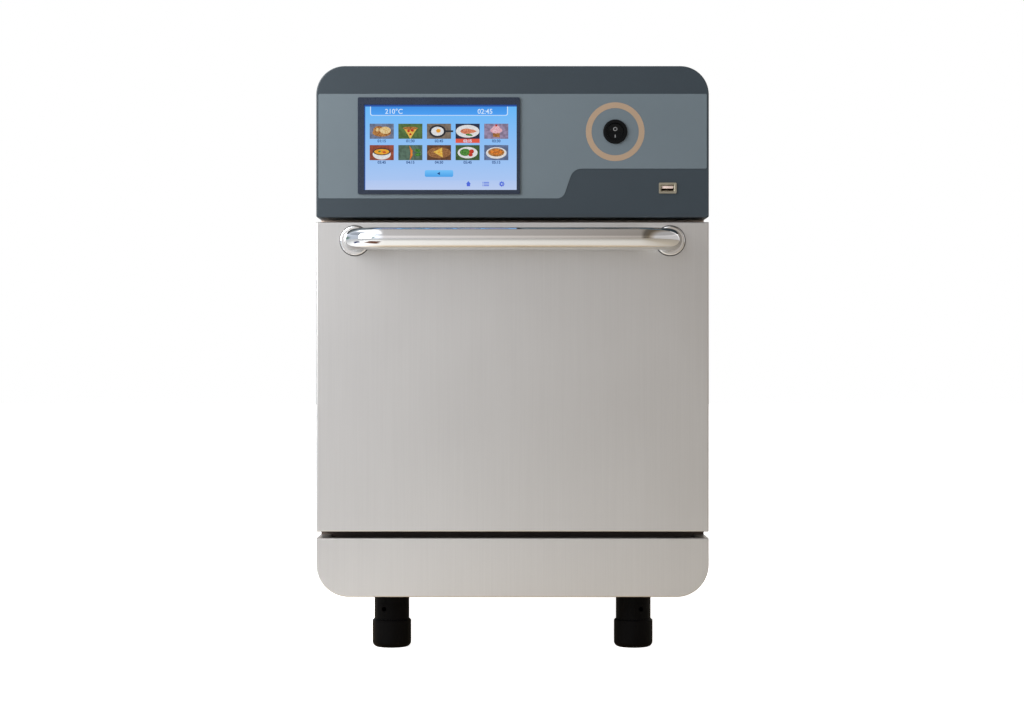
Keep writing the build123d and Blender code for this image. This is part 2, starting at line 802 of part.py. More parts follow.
def door_skin():
    """The door's outer pan of satin steel, with folded sides."""
    half = body_width / 2
    skin = block(-half, half, front_y, door_inner_y, door_low, door_high)
    skin = fillet(skin.faces().sort_by(Axis.Y)[0].edges(), door_edge_radius)
    skin -= block(-half + front_sheet, half - front_sheet, front_y + front_sheet, door_back_y,
                  door_low + front_sheet, door_high - front_sheet)
    skin -= hinge_notches(front_y + hinge_notch_setback, door_back_y)
    hole = handle_bolt_radius + screw_clearance
    skin -= [bar((s * handle_centres / 2, front_y - overrun, handle_z), (0, 1, 0), hole,
                 front_sheet + 2 * overrun) for s in (-1, 1)]
    return skin


def door_inner_panel():
    """The door's back plate, with the microwave choke and the gasket channel folded into it."""
    half = body_width / 2
    panel = block(-half, half, door_inner_y, door_back_y, door_low, door_high)
    panel += from_front(cavity_ring(choke_inner - choke_wall, choke_outer + choke_wall),
                        door_back_y - choke_depth, choke_depth)
    panel += from_front(cavity_ring(gasket_inner - gasket_channel_wall, gasket_outer + gasket_channel_wall),
                        door_back_y - gasket_channel_depth, gasket_channel_depth)
    panel -= from_front(cavity_ring(choke_inner, choke_outer),
                        door_back_y - choke_depth + choke_wall, choke_depth)
    panel -= from_front(cavity_ring(gasket_inner, gasket_outer),
                        door_back_y - gasket_channel_depth + gasket_channel_wall, gasket_channel_depth)
    panel -= hinge_notches(door_inner_y - overrun, door_back_y + overrun)
    return panel


def choke_cover():
    """The plastic strip that closes the choke's mouth."""
    ring = cavity_ring(choke_inner + lap_clearance / 2, choke_outer - lap_clearance / 2)
    return from_front(ring, door_back_y - choke_cover_sheet, choke_cover_sheet)


gasket_slack = 0.2


def door_gasket():
    """The rounded silicone rope in its channel, just short of the frame."""
    low = door_back_y - gasket_channel_depth + gasket_channel_wall
    high = frame_y - seat_clearance
    ring = cavity_ring(gasket_inner + gasket_slack, gasket_outer - gasket_slack)
    rope = from_front(ring, low, high - low)
    crown = (gasket_outer - gasket_inner) / 2 - 2 * gasket_slack
    nose = rope.faces().sort_by(Axis.Y)[-1]
    return fillet(nose.edges(), min(crown, (high - low) / 2))


def door_insulation():
    """The insulating block in the door, inside the choke's ring."""
    block_outline = cavity_outline(choke_inner - choke_wall - seat_clearance)
    y = front_y + front_sheet
    return from_front(block_outline, y, door_inner_y - seat_clearance - y)


def handle_path():
    """The handle's centreline: out from the door, across, and back."""
    x = handle_centres / 2
    y = front_y - handle_standoff
    return FilletPolyline((-x, front_y, handle_z), (-x, y, handle_z), (x, y, handle_z),
                          (x, front_y, handle_z), radius=handle_bend)


def handle_tube():
    """The bright bent tube, with a plug in each end for its bolt."""
    path = handle_path()
    start = Plane(origin=path @ 0, z_dir=path % 0)
    outer = sweep(start * Circle(handle_radius), path)
    inner = sweep(start * Circle(handle_radius - handle_wall), path)
    tube_wall = outer - inner
    for s in (-1, 1):
        x = s * handle_centres / 2
        tube_wall += tube((x, front_y - handle_plug, handle_z), (0, 1, 0), handle_radius - handle_wall / 2,
                          handle_bolt_radius, handle_plug)
    return tube_wall


flange_radius = 15.0
flange_thickness = 4.0
flange_edge = 1.5


def handle_flanges():
    """The round collars where the handle meets the door."""
    collars = []
    for s in (-1, 1):
        x = s * handle_centres / 2
        collar = bar((x, front_y - flange_thickness, handle_z), (0, 1, 0), flange_radius, flange_thickness)
        collar = fillet(collar.faces().sort_by(Axis.Y)[0].edges(), flange_edge)
        collar -= bar((x, front_y - flange_thickness - overrun, handle_z), (0, 1, 0),
                      handle_radius + running_clearance, flange_thickness + 2 * overrun)
        collars.append(collar)
    return group(collars)


def handle_bolts():
    """The bolts that hold the handle from inside the door."""
    bolts = []
    head_y = front_y + front_sheet
    for s in (-1, 1):
        x = s * handle_centres / 2
        bolt = bar((x, head_y, handle_z), (0, 1, 0), handle_bolt_head_radius, handle_bolt_head_height)
        bolt += bar((x, front_y - handle_bolt_grip, handle_z), (0, 1, 0),
                    handle_bolt_radius - running_clearance, handle_bolt_grip + front_sheet)
        bolts.append(bolt)
    return group(bolts)


clevis_half = 11.0
clevis_slot_half = 4.0
clevis_depth = 24.0
clevis_rise = 23.0
clevis_bridge = 7.0


def hinge_clevises():
    """The forked blocks inside the door that carry the hinge pins."""
    clevises = []
    low = door_low + front_sheet
    high = door_low + clevis_rise
    y0 = front_y + front_sheet
    for s in (-1, 1):
        x = s * hinge_x
        clevis = block(x - clevis_half, x + clevis_half, y0, y0 + clevis_depth, low, high)
        clevis -= block(x - clevis_slot_half, x + clevis_slot_half, y0 - overrun, y0 + clevis_depth + overrun,
                        low - overrun, high - clevis_bridge)
        clevis -= bar((x - clevis_half - overrun, hinge_y, hinge_z), (1, 0, 0),
                      hinge_pin_radius + running_clearance / 2, 2 * (clevis_half + overrun))
        clevises.append(clevis)
    return group(clevises)


washer_count = 2
washer_sheet = 0.6
washer_cup = 0.8
washer_radius = 6.0
washer_stack = washer_count * (washer_sheet + washer_cup)
pin_head_radius = 4.5
pin_head_length = 1.5


def hinge_pins():
    """The two pins, each with a head beyond its washers."""
    pins = []
    for s in (-1, 1):
        inner = (s * (hinge_x - clevis_half), hinge_y, hinge_z)
        pin = bar(inner, (s, 0, 0), hinge_pin_radius, 2 * clevis_half + washer_stack)
        end = s * (hinge_x + clevis_half + washer_stack)
        pin += bar((end, hinge_y, hinge_z), (s, 0, 0), pin_head_radius, pin_head_length)
        pins.append(pin)
    return group(pins)


def hinge_washers():
    """Cup washers on the pins' outer ends, rim to rim, that take up the hinges' side play."""
    bore = hinge_pin_radius + running_clearance
    dish = Polygon((bore, 0), (bore + washer_sheet, 0), (washer_radius, washer_cup),
                   (washer_radius, washer_cup + washer_sheet), (bore, washer_sheet), align=None)
    cup = revolve(Plane.XZ * dish, Axis.Z)
    washers = []
    for s in (-1, 1):
        start = Pos(s * (hinge_x + clevis_half), hinge_y, hinge_z) * Rot(0, s * 90, 0)
        washers.append(start * cup)
        washers.append(start * Pos(0, 0, washer_stack) * Rot(180, 0, 0) * cup)
    return group(washers)


def interlock_fingers():
    """The two fingers on the door's back that press the safety switches."""
    fingers = []
    for s in (-1, 1):
        x = s * finger_x
        foot = block(x - finger_foot_half, x + finger_foot_half, door_back_y, door_back_y + finger_foot_sheet,
                     finger_low - finger_foot_margin, finger_high + finger_foot_margin)
        blade = Polygon((door_back_y, finger_low), (finger_tip_y, finger_low + finger_height / 4),
                        (finger_tip_y, finger_high - finger_height / 4), (door_back_y, finger_high), align=None)
        fingers.append(foot + from_side(blade, x - finger_thickness / 2, finger_thickness))
    return group(fingers)


switch_half = 8.0
switch_setback = 4.0
switch_depth = 18.0
switch_height = 20.0
switch_bracket_sheet = 2.0
plunger_radius = 2.0
plunger_length = 12.0
plunger_travel = 3.0
switch_y = finger_tip_y + switch_setback
switch_z = (finger_low + finger_high) / 2


def interlock_switches():
    """The two safety switches, each on a bracket behind the frame."""
    switches = []
    for s in (-1, 1):
        x = s * finger_x
        low = switch_z - switch_height / 2
        switch = block(x - switch_half, x + switch_half, switch_y, switch_y + switch_depth,
                       low, low + switch_height)
        side = sorted((x + s * switch_half, x + s * (switch_half + switch_bracket_sheet)))
        switch += block(*side, bay_y, switch_y + switch_depth, low, low + switch_height)
        tab = sorted((x + s * switch_half, x + s * (switch_half + 4 * switch_bracket_sheet)))
        switch += block(*tab, bay_y, bay_y + switch_bracket_sheet, low, low + switch_height)
        switch -= bar((x, switch_y - overrun, switch_z), (0, 1, 0), plunger_radius + running_clearance,
                      plunger_length + overrun)
        switches.append(switch)
    return group(switches)


def interlock_plungers():
    """The switches' plungers, pressed in by the closed door's fingers."""
    y = finger_tip_y + seat_clearance
    length = plunger_length - plunger_travel
    return group(bar((s * finger_x, y, switch_z), (0, 1, 0), plunger_radius, length) for s in (-1, 1))


# Air duct behind and over the cavity
duct_top_height = 40.0
duct_setback = 70.0
roof_rear_margin = 25.0
roof_side_margin = 21.0
blower_z = cavity_middle
liner_half = cavity_half + liner_sheet
liner_low = cavity_low - liner_sheet
liner_high = cavity_high + liner_sheet
liner_back = cavity_back + liner_sheet
duct_back = liner_back + duct_rear_depth
duct_front = bay_y + duct_setback
duct_high = liner_high + duct_top_height

# Stirrer well under the cavity's floor
well_radius = 100.0
well_depth = 30.0
well_mouth_radius = 28.0
well_y = bay_y + cavity_depth / 2
well_low = liner_low - well_depth - liner_sheet
liner_flange = 8.0
roof_half = cavity_half - roof_side_margin


def cavity_liner():
    """The cooking cavity, welded from its mouth ring, two bent halves, a back sheet and the stirrer well."""
    mouth = from_front(cavity_ring(0, liner_sheet + liner_flange), bay_y, liner_sheet)
    walls = from_front(cavity_ring(0, liner_sheet), bay_y + liner_sheet, cavity_depth - liner_sheet)
    walls -= bar((0, well_y, liner_low - overrun), (0, 0, 1), well_radius, liner_sheet + 2 * overrun)
    walls -= block(-roof_half, roof_half, duct_front + duct_sheet, cavity_back - roof_rear_margin,
                   cavity_high - overrun, liner_high + overrun)
    left, right = (
        walls & block(*sorted((0, s * body_width)), bay_y, liner_back, 0, control_high) for s in (-1, 1)
    )
    back = from_front(cavity_outline(liner_sheet), cavity_back, liner_sheet)
    back -= bar((0, cavity_back - overrun, blower_z), (0, 1, 0), grille_hole_radius, 3 * overrun)
    well = bar((0, well_y, well_low), (0, 0, 1), well_radius + liner_sheet, liner_low - well_low)
    well -= bar((0, well_y, well_low + liner_sheet), (0, 0, 1), well_radius, well_depth + overrun)
    well -= bar((0, well_y, well_low - overrun), (0, 0, 1), well_mouth_radius, 3 * overrun)
    return group([mouth, left, right, back, well])


# Blower, heater and motor places along the depth
wheel_gap = 8.0
wheel_clearance = 11.0
wheel_depth = 34.0
wheel_sheet = 2.0
wheel_ring_width = 23.0
wheel_blades = 16
wheel_hub = 12.0
shaft_radius = 5.0
shaft_hole = 8.0
heater_room = 10.0
heater_wire_radius = 4.0
heater_ring_pitch = 15.0
heater_terminal_half = 15.0
motor_standoff = 24.0
motor_flange_radius = 44.0
motor_flange_thickness = 4.0
motor_radius = 38.0
motor_length = 66.0
motor_post_radius = 4.0
motor_post_circle = 38.0
motor_posts = 3
motor_bore_depth = 50.0
grille_lip = 8.0
heater_ring_radius = cavity_height / 2 - heater_room
wheel_radius = heater_ring_radius - heater_wire_radius - wheel_clearance
wheel_eye = wheel_radius - wheel_ring_width
grille_hole_radius = heater_ring_radius - grille_lip
wheel_y = liner_back + wheel_gap
motor_y = duct_back + motor_standoff
heater_y = wheel_y + heater_wire_radius
heater_low_z = blower_z - heater_ring_radius
motor_hole = motor_flange_radius + 2 * lap_clearance


def duct_space(extra):
    """The L of the duct, grown by extra on its free sides: behind the cavity and over it."""
    half = liner_half + extra
    rear = block(-half, half, liner_back, duct_back + extra, liner_low - extra, duct_high + extra)
    return rear + block(-half, half, duct_front - extra, liner_back, liner_high, duct_high + extra)


def heater_terminal_places():
    """Where the heater's two ends leave the duct, x and z."""
    return [(s * heater_terminal_half, heater_low_z) for s in (-1, 1)]


def air_duct():
    """The sheet duct that turns the blower's air forward over the cavity's roof."""
    duct = duct_space(0)
    half = liner_half - duct_sheet
    duct -= block(-half, half, liner_back - overrun, duct_back - duct_sheet,
                  liner_low + duct_sheet, duct_high - duct_sheet)
    duct -= block(-half, half, duct_front + duct_sheet, liner_back, liner_high - overrun,
                  duct_high - duct_sheet)
    y = duct_back - duct_sheet - overrun
    through = duct_sheet + 2 * overrun
    duct -= bar((0, y, blower_z), (0, 1, 0), shaft_hole, through)
    duct -= bar((vent_x, y, vent_z), (0, 1, 0), vent_radius - vent_wall, through)
    for x, z in heater_terminal_places():
        duct -= bar((x, y, z), (0, 1, 0), heater_wire_radius + lap_clearance, through)
    return duct


def insulation():
    """The ceramic-fibre jacket round the cavity and the duct."""
    half = liner_half + insulation_thickness
    front = bay_y + liner_sheet + seat_clearance
    back = duct_back + insulation_thickness
    high = liner_high + insulation_thickness
    jacket = block(-half, half, front, back, liner_low - insulation_thickness, high)
    jacket += block(-half, half, duct_front - insulation_thickness, back, high,
                    duct_high + insulation_thickness)
    jacket -= from_front(cavity_outline(liner_sheet + seat_clearance), front - overrun,
                         liner_back - front + overrun)
    jacket -= duct_space(seat_clearance)
    jacket -= bar((0, well_y, well_low - overrun), (0, 0, 1), well_radius + liner_sheet + seat_clearance,
                  liner_low - well_low + 2 * overrun)
    through = insulation_thickness + 2 * overrun
    jacket -= bar((0, duct_back - overrun, blower_z), (0, 1, 0), motor_hole, through)
    jacket -= bar((vent_x, duct_back - overrun, vent_z), (0, 1, 0), vent_flange_radius + seat_clearance,
                  through)
    for x, z in heater_terminal_places():
        jacket -= bar((x, duct_back - overrun, z), (0, 1, 0), 2 * heater_wire_radius, through)
    return jacket


jet_margin = 13.0
jet_sheet = 1.5
jet_hole = 5.5
jet_pitch = 30.0
jet_lip = 8.0


def jet_plate():
    """The perforated plate under the cavity's roof that throws the hot air down in jets."""
    half = cavity_half - jet_margin
    y0 = bay_y + jet_margin
    y1 = cavity_back - jet_margin
    plate = block(-half, half, y0, y1, cavity_high - jet_sheet, cavity_high)
    plate += block(-half, half, y0, y0 + jet_sheet, cavity_high - jet_lip, cavity_high)
    roof_y0 = duct_front + duct_sheet
    roof_y1 = cavity_back - roof_rear_margin
    columns = fit_count(2 * roof_half, jet_pitch, 2 * jet_hole)
    rows = fit_count(roof_y1 - roof_y0, jet_pitch, 2 * jet_hole)
    holes = [bar((x, y, cavity_high - jet_sheet - overrun), (0, 0, 1), jet_hole, jet_sheet + 2 * overrun)
             for x in spread(0, jet_pitch, columns) for y in spread((roof_y0 + roof_y1) / 2, jet_pitch, rows)]
    return plate - holes


grille_side_margin = 18.0
grille_top_margin = 3.0
grille_edge = 24.0
grille_column_gap = 12.0
grille_slot_height = 4.0
grille_slot_pitch = 9.0
grille_width = 2 * (grille_hole_radius + grille_side_margin)
grille_height = 2 * (grille_hole_radius + grille_top_margin)
grille_slot_length = grille_width / 2 - grille_edge - grille_column_gap / 2


def return_grille():
    """The slotted plate over the fan's opening in the cavity's back wall."""
    plate = from_front(Pos(0, blower_z) * RectangleRounded(grille_width, grille_height, cavity_radius),
                       cavity_back - liner_sheet, liner_sheet)
    column = (grille_slot_length + grille_column_gap) / 2
    rows = fit_count(grille_height - grille_edge, grille_slot_pitch, grille_slot_height)
    return plate - slot_rows(
        (-column, column), spread(blower_z, grille_slot_pitch, rows),
        grille_slot_length, grille_slot_height, cavity_back - liner_sheet - overrun,
        liner_sheet + 2 * overrun,
    )


floor_margin = 3.0
floor_thickness = 5.0
floor_radius = 8.0


def ceramic_floor():
    """The microwave-clear ceramic plate that covers the stirrer well."""
    plate = RectangleRounded(cavity_width - 2 * cavity_radius, cavity_depth - 2 * floor_margin, floor_radius)
    return from_above(Pos(0, well_y) * plate, cavity_low, floor_thickness)


rail_rise = 34.0
rail_width = 10.0
rail_sheet = 1.5
rail_drop = 12.0
rail_setback = 20.0
rack_wire = 2.5
rack_cross_wire = 1.5
rack_side_clearance = 3.0
rack_corner = 18.0
rack_pitch = 22.0
rack_ties = 2
rail_z = cavity_low + rail_rise


def rack_rails():
    """The angle rails on the cavity's side walls."""
    rails = []
    y0 = bay_y + rail_setback
    y1 = cavity_back - rail_setback
    for s in (-1, 1):
        shelf = sorted((s * (cavity_half - rail_width), s * cavity_half))
        web = sorted((s * (cavity_half - rail_sheet), s * cavity_half))
        rails.append(block(*shelf, y0, y1, rail_z - rail_sheet, rail_z)
                     + block(*web, y0, y1, rail_z - rail_drop, rail_z))
    return group(rails)


def wire_rack():
    """The cooking rack: a bent rim wire with cross wires welded into it."""
    half = cavity_half - rack_side_clearance - rack_wire
    y0 = bay_y + rail_setback
    y1 = cavity_back - rail_setback
    z = rail_z + rack_wire
    outline = RectangleRounded(2 * half, y1 - y0, rack_corner)
    rim = (Pos(0, (y0 + y1) / 2, z) * outline).wire()
    rack = sweep(Plane(origin=rim @ 0, z_dir=rim % 0) * Circle(rack_wire), rim)
    room = half - rack_corner
    count = fit_count(2 * room, rack_pitch, 0)
    wires = [bar((x, y0, z), (0, 1, 0), rack_cross_wire, y1 - y0) for x in spread(0, rack_pitch, count)]
    tie_pitch = (y1 - y0) / (rack_ties + 1)
    wires += [bar((-half, y, z), (1, 0, 0), rack_cross_wire, 2 * half)
              for y in spread((y0 + y1) / 2, tie_pitch, rack_ties)]
    return rack + wires


def heater_element():
    """The tubular heater: two rings round the blower wheel, with ends out through the duct."""
    rings = [Pos(0, heater_y + i * heater_ring_pitch, blower_z) * Rot(90, 0, 0)
             * Torus(heater_ring_radius, heater_wire_radius) for i in (0, 1)]
    heater = rings[0] + rings[1]
    heater += bar((0, heater_y, heater_low_z + 2 * heater_ring_radius), (0, 1, 0), heater_wire_radius,
                  heater_ring_pitch)
    for x, z in heater_terminal_places():
        heater += bar((x, heater_y + heater_ring_pitch, z), (0, 1, 0), heater_wire_radius,
                      duct_back + insulation_thickness + overrun - heater_y - heater_ring_pitch)
    return heater


def blower_wheel():
    """The centrifugal wheel with its shaft."""
    back = wheel_y + wheel_depth
    wheel = bar((0, back - wheel_sheet, blower_z), (0, 1, 0), wheel_radius, wheel_sheet)
    wheel += tube((0, wheel_y, blower_z), (0, 1, 0), wheel_radius, wheel_eye, wheel_sheet)
    wheel += bar((0, wheel_y + wheel_sheet, blower_z), (0, 1, 0), wheel_hub, wheel_depth - wheel_sheet)
    blade_inner = wheel_eye - 2 * wheel_sheet
    blade = block(blade_inner, wheel_radius - wheel_sheet, wheel_y, back,
                  blower_z - wheel_sheet / 2, blower_z + wheel_sheet / 2)
    centre = Location((0, 0, blower_z))
    wheel += [centre * Rot(0, 360 * i / wheel_blades, 0) * centre.inverse() * blade
              for i in range(wheel_blades)]
    wheel += bar((0, back - wheel_sheet, blower_z), (0, 1, 0), shaft_radius,
                 motor_y + motor_bore_depth - running_clearance - back + wheel_sheet)
    return wheel


motor_ribs = 12
motor_rib_height = 3.0
motor_rib_width = 3.0


def blower_motor():
    """The blower's motor on three posts, clear of the hot duct."""
    motor = bar((0, motor_y, blower_z), (0, 1, 0), motor_flange_radius, motor_flange_thickness)
    motor += bar((0, motor_y, blower_z), (0, 1, 0), motor_radius, motor_flange_thickness + motor_length)
    centre = Location((0, 0, blower_z))
    rib = block(motor_radius - motor_rib_height, motor_radius + motor_rib_height,
                motor_y + motor_flange_thickness, motor_y + motor_length,
                blower_z - motor_rib_width / 2, blower_z + motor_rib_width / 2)
    motor += [centre * Rot(0, 360 * i / motor_ribs, 0) * centre.inverse() * rib for i in range(motor_ribs)]
    for i in range(motor_posts):
        angle = 2 * pi * i / motor_posts + pi / 2
        x = motor_post_circle * cos(angle)
        z = blower_z + motor_post_circle * sin(angle)
        motor += bar((x, duct_back, z), (0, 1, 0), motor_post_radius, motor_standoff)
    motor -= bar((0, motor_y - overrun, blower_z), (0, 1, 0), shaft_radius + running_clearance,
                 motor_bore_depth + overrun)
    return motor


# Microwave feed under the cavity
guide_half = 43.0
guide_height = 43.0
guide_sheet = 1.5
guide_front_margin = 15.0
guide_end = 7.0
antenna_radius = 10.0
antenna_length = 22.0
antenna_clearance = 2.0
stirrer_shaft_radius = 4.0
stirrer_hole_clearance = 0.5
guide_low = well_low - guide_height
guide_y0 = well_y - guide_half - guide_front_margin
magnetron_y = rear_y - magnetron_rear_gap - magnetron_half
guide_y1 = magnetron_y + magnetron_half + guide_end


def waveguide():
    """The rectangular guide from the magnetron to the stirrer well."""
    guide = block(-guide_half, guide_half, guide_y0, guide_y1, guide_low, well_low)
    guide -= block(-guide_half + guide_sheet, guide_half - guide_sheet, guide_y0 + guide_sheet,
                   guide_y1 - guide_sheet, guide_low + guide_sheet, well_low - guide_sheet)
    guide -= bar((0, well_y, well_low - guide_height / 2), (0, 0, 1), well_mouth_radius, guide_height)
    guide -= bar((0, magnetron_y, well_low - guide_height / 2), (0, 0, 1),
                 antenna_radius + antenna_clearance, guide_height)
    guide -= bar((0, well_y, guide_low - overrun), (0, 0, 1),
                 stirrer_shaft_radius + stirrer_hole_clearance, guide_sheet + 2 * overrun)
    return guide


magnetron_base = 3.0
magnetron_height = 50.0
magnetron_core = 24.0
magnetron_fins = 7
magnetron_fin_sheet = 1.2
magnetron_fin_half = 36.0
magnetron_box_height = 16.0


def magnetron():
    """The magnetron: base plate, core with cooling fins, side yokes, filter box and antenna."""
    y = magnetron_y
    low = well_low
    top = low + magnetron_height
    tube_body = block(-magnetron_half, magnetron_half, y - magnetron_half, y + magnetron_half,
                      low, low + magnetron_base)
    tube_body += bar((0, y, low), (0, 0, 1), magnetron_core, magnetron_height)
    fin_room = magnetron_height - magnetron_base - magnetron_box_height
    pitch = fin_room / (magnetron_fins + 1)
    for i in range(magnetron_fins):
        z = low + magnetron_base + pitch * (i + 1)
        tube_body += block(-magnetron_half, magnetron_half, y - magnetron_fin_half, y + magnetron_fin_half,
                           z - magnetron_fin_sheet / 2, z + magnetron_fin_sheet / 2)
    for s in (-1, 1):
        side = sorted((s * (magnetron_half - magnetron_fin_sheet), s * magnetron_half))
        tube_body += block(*side, y - magnetron_half, y + magnetron_half, low, top)
    tube_body += block(-magnetron_half, magnetron_half, y - magnetron_half, y + magnetron_half,
                       top - magnetron_box_height, top)
    tube_body += bar((0, y, low - antenna_length), (0, 0, 1), antenna_radius, antenna_length)
    return tube_body


stirrer_motor_radius = 26.0
stirrer_motor_height = 24.0
stirrer_flange = 2.0
stirrer_bore_depth = 16.0
stirrer_hub_radius = 10.0
stirrer_hub_height = 10.0
stirrer_tip_clearance = 12.0
stirrer_blade_width = 34.0
stirrer_blade_sheet = 1.2
stirrer_blades = 3
stirrer_tilt = 14.0
stirrer_rise = 14.0


def stirrer_motor():
    """The small gear motor under the guide that turns the stirrer."""
    low = guide_low - stirrer_motor_height
    motor = bar((0, well_y, low), (0, 0, 1), stirrer_motor_radius, stirrer_motor_height)
    half = stirrer_motor_radius + stirrer_hub_radius
    motor += block(-half, half, well_y - stirrer_hub_radius, well_y + stirrer_hub_radius,
                   guide_low - stirrer_flange, guide_low)
    return motor - bar((0, well_y, guide_low - stirrer_bore_depth), (0, 0, 1),
                       stirrer_shaft_radius + running_clearance, stirrer_bore_depth + overrun)


def mode_stirrer():
    """The three-bladed metal stirrer on its shaft, in the well under the ceramic floor."""
    hub_low = well_low + liner_sheet + stirrer_rise - stirrer_hub_height / 2
    hub_top = hub_low + stirrer_hub_height
    shaft_low = guide_low - stirrer_bore_depth + running_clearance
    stirrer = bar((0, well_y, shaft_low), (0, 0, 1), stirrer_shaft_radius, hub_top - shaft_low)
    stirrer += bar((0, well_y, hub_low), (0, 0, 1), stirrer_hub_radius, stirrer_hub_height)
    hub_z = hub_low + stirrer_hub_height / 2
    for i in range(stirrer_blades):
        blade = block(stirrer_hub_radius / 2, well_radius - stirrer_tip_clearance, -stirrer_blade_width / 2,
                      stirrer_blade_width / 2, -stirrer_blade_sheet / 2, stirrer_blade_sheet / 2)
        stirrer += (Pos(0, well_y, hub_z) * Rot(0, 0, 360 * i / stirrer_blades)
                    * Rot(stirrer_tilt, 0, 0) * blade)
    return stirrer


# High-voltage parts and the power board on the base pan
transformer_inset = 92.0
transformer_setback = 165.0
transformer_width = 90.0
transformer_depth = 66.0
transformer_height = 62.0
winding_bulge = 14.0
winding_width = 54.0
winding_height = 44.0
winding_radius = 10.0
transformer_x = transformer_inset - body_width / 2
transformer_y = rear_y - transformer_setback
transformer_foot = 3.0
transformer_foot_reach = 10.0


def hv_transformer():
    """The high-voltage transformer: a stack of laminations, its windings and feet."""
    x, y = transformer_x, transformer_y
    half_w, half_d = transformer_width / 2, transformer_depth / 2
    core = block(x - half_w, x + half_w, y - half_d, y + half_d, pan_floor, pan_floor + transformer_height)
    winding = RectangleRounded(winding_width, winding_height, winding_radius)
    z = pan_floor + transformer_height / 2
    depth = transformer_depth + 2 * winding_bulge
    core += from_front(Pos(x, z) * winding, y - depth / 2, depth)
    reach = half_w + transformer_foot_reach
    core += block(x - reach, x + reach, y - half_d, y + half_d, pan_floor, pan_floor + transformer_foot)
    return core


capacitor_inset = 82.0
capacitor_setback = 150.0
capacitor_x = body_width / 2 - capacitor_inset
capacitor_y = rear_y - capacitor_setback
capacitor_length = 56.0
capacitor_width = 36.0
capacitor_height = 92.0
terminal_half = 3.0
terminal_height = 10.0
strap_sheet = 1.5
strap_height = 12.0
strap_reach = 14.0


def hv_capacitor():
    """The oil capacitor in its strap, with two terminals."""
    place = Pos(capacitor_x, capacitor_y)
    can = from_above(place * SlotOverall(capacitor_length, capacitor_width), pan_floor, capacitor_height)
    band = SlotOverall(capacitor_length + 2 * strap_sheet, capacitor_width + 2 * strap_sheet)
    can += from_above(place * band, pan_floor + capacitor_height / 2, strap_height)
    reach = capacitor_length / 2 + strap_reach
    can += block(capacitor_x - reach, capacitor_x + reach, capacitor_y - strap_height / 2,
                 capacitor_y + strap_height / 2, pan_floor, pan_floor + strap_sheet)
    top = pan_floor + capacitor_height
    for s in (-1, 1):
        can += bar((capacitor_x + s * capacitor_width / 3, capacitor_y, top), (0, 0, 1), terminal_half,
                   terminal_height)
    return can


power_inset = 92.0
power_spacing = 180.0
power_x = body_width / 2 - power_inset
power_y = capacitor_y - power_spacing
power_width = 110.0
power_depth = 150.0
power_post_height = 10.0
power_part_height = 30.0
power_parts_share = ((-0.28, -0.34, 0.26, 0.20, 0.74), (0.12, -0.34, 0.26, 0.20, 0.74),
                     (-0.28, -0.06, 0.26, 0.20, 0.74), (0.12, -0.06, 0.26, 0.20, 0.74),
                     (-0.22, 0.28, 0.40, 0.30, 1.00), (0.24, 0.30, 0.28, 0.24, 0.54))


def power_board():
    """The power board on posts, with relays, a mains filter choke and a terminal block."""
    z = pan_floor + power_post_height
    half_w, half_d = power_width / 2, power_depth / 2
    board = block(power_x - half_w, power_x + half_w, power_y - half_d, power_y + half_d, z, z + board_sheet)
    for sx in (-1, 1):
        for sy in (-1, 1):
            x = power_x + sx * (half_w - board_post_inset)
            y = power_y + sy * (half_d - board_post_inset)
            board += bar((x, y, pan_floor), (0, 0, 1), board_post_radius, power_post_height)
    for x_share, y_share, width_share, depth_share, height_share in power_parts_share:
        x = power_x + x_share * power_width
        y = power_y + y_share * power_depth
        part_w, part_d = width_share * power_width / 2, depth_share * power_depth / 2
        board += block(x - part_w, x + part_w, y - part_d, y + part_d, z,
                       z + board_sheet + height_share * power_part_height)
    return board


fan_hub_radius = 20.0
fan_hub_depth = 4.0
fan_strut_width = 5.0
fan_pin_radius = 2.0
fan_pin_length = 12.0
fan_tip_clearance = 1.5
fan_blades = 7
fan_blade_sheet = 2.0
fan_blade_tilt = 38.0
fan_rotor_gap = 1.0


def fan_frame():
    """The cooling fan's square frame, with its hub on four struts."""
    y = rear_y - rear_sheet - fan_depth
    frame = block(fan_x - fan_size / 2, fan_x + fan_size / 2, y, y + fan_depth,
                  fan_z - fan_size / 2, fan_z + fan_size / 2)
    frame -= bar((fan_x, y - overrun, fan_z), (0, 1, 0), fan_bore, fan_depth + 2 * overrun)
    reach = fan_bore + fan_pin_radius
    half = fan_strut_width / 2
    frame += block(fan_x - reach, fan_x + reach, y, y + fan_hub_depth, fan_z - half, fan_z + half)
    frame += block(fan_x - half, fan_x + half, y, y + fan_hub_depth, fan_z - reach, fan_z + reach)
    frame += bar((fan_x, y, fan_z), (0, 1, 0), fan_hub_radius, fan_hub_depth)
    frame += bar((fan_x, y + fan_hub_depth, fan_z), (0, 1, 0), fan_pin_radius, fan_pin_length)
    return frame


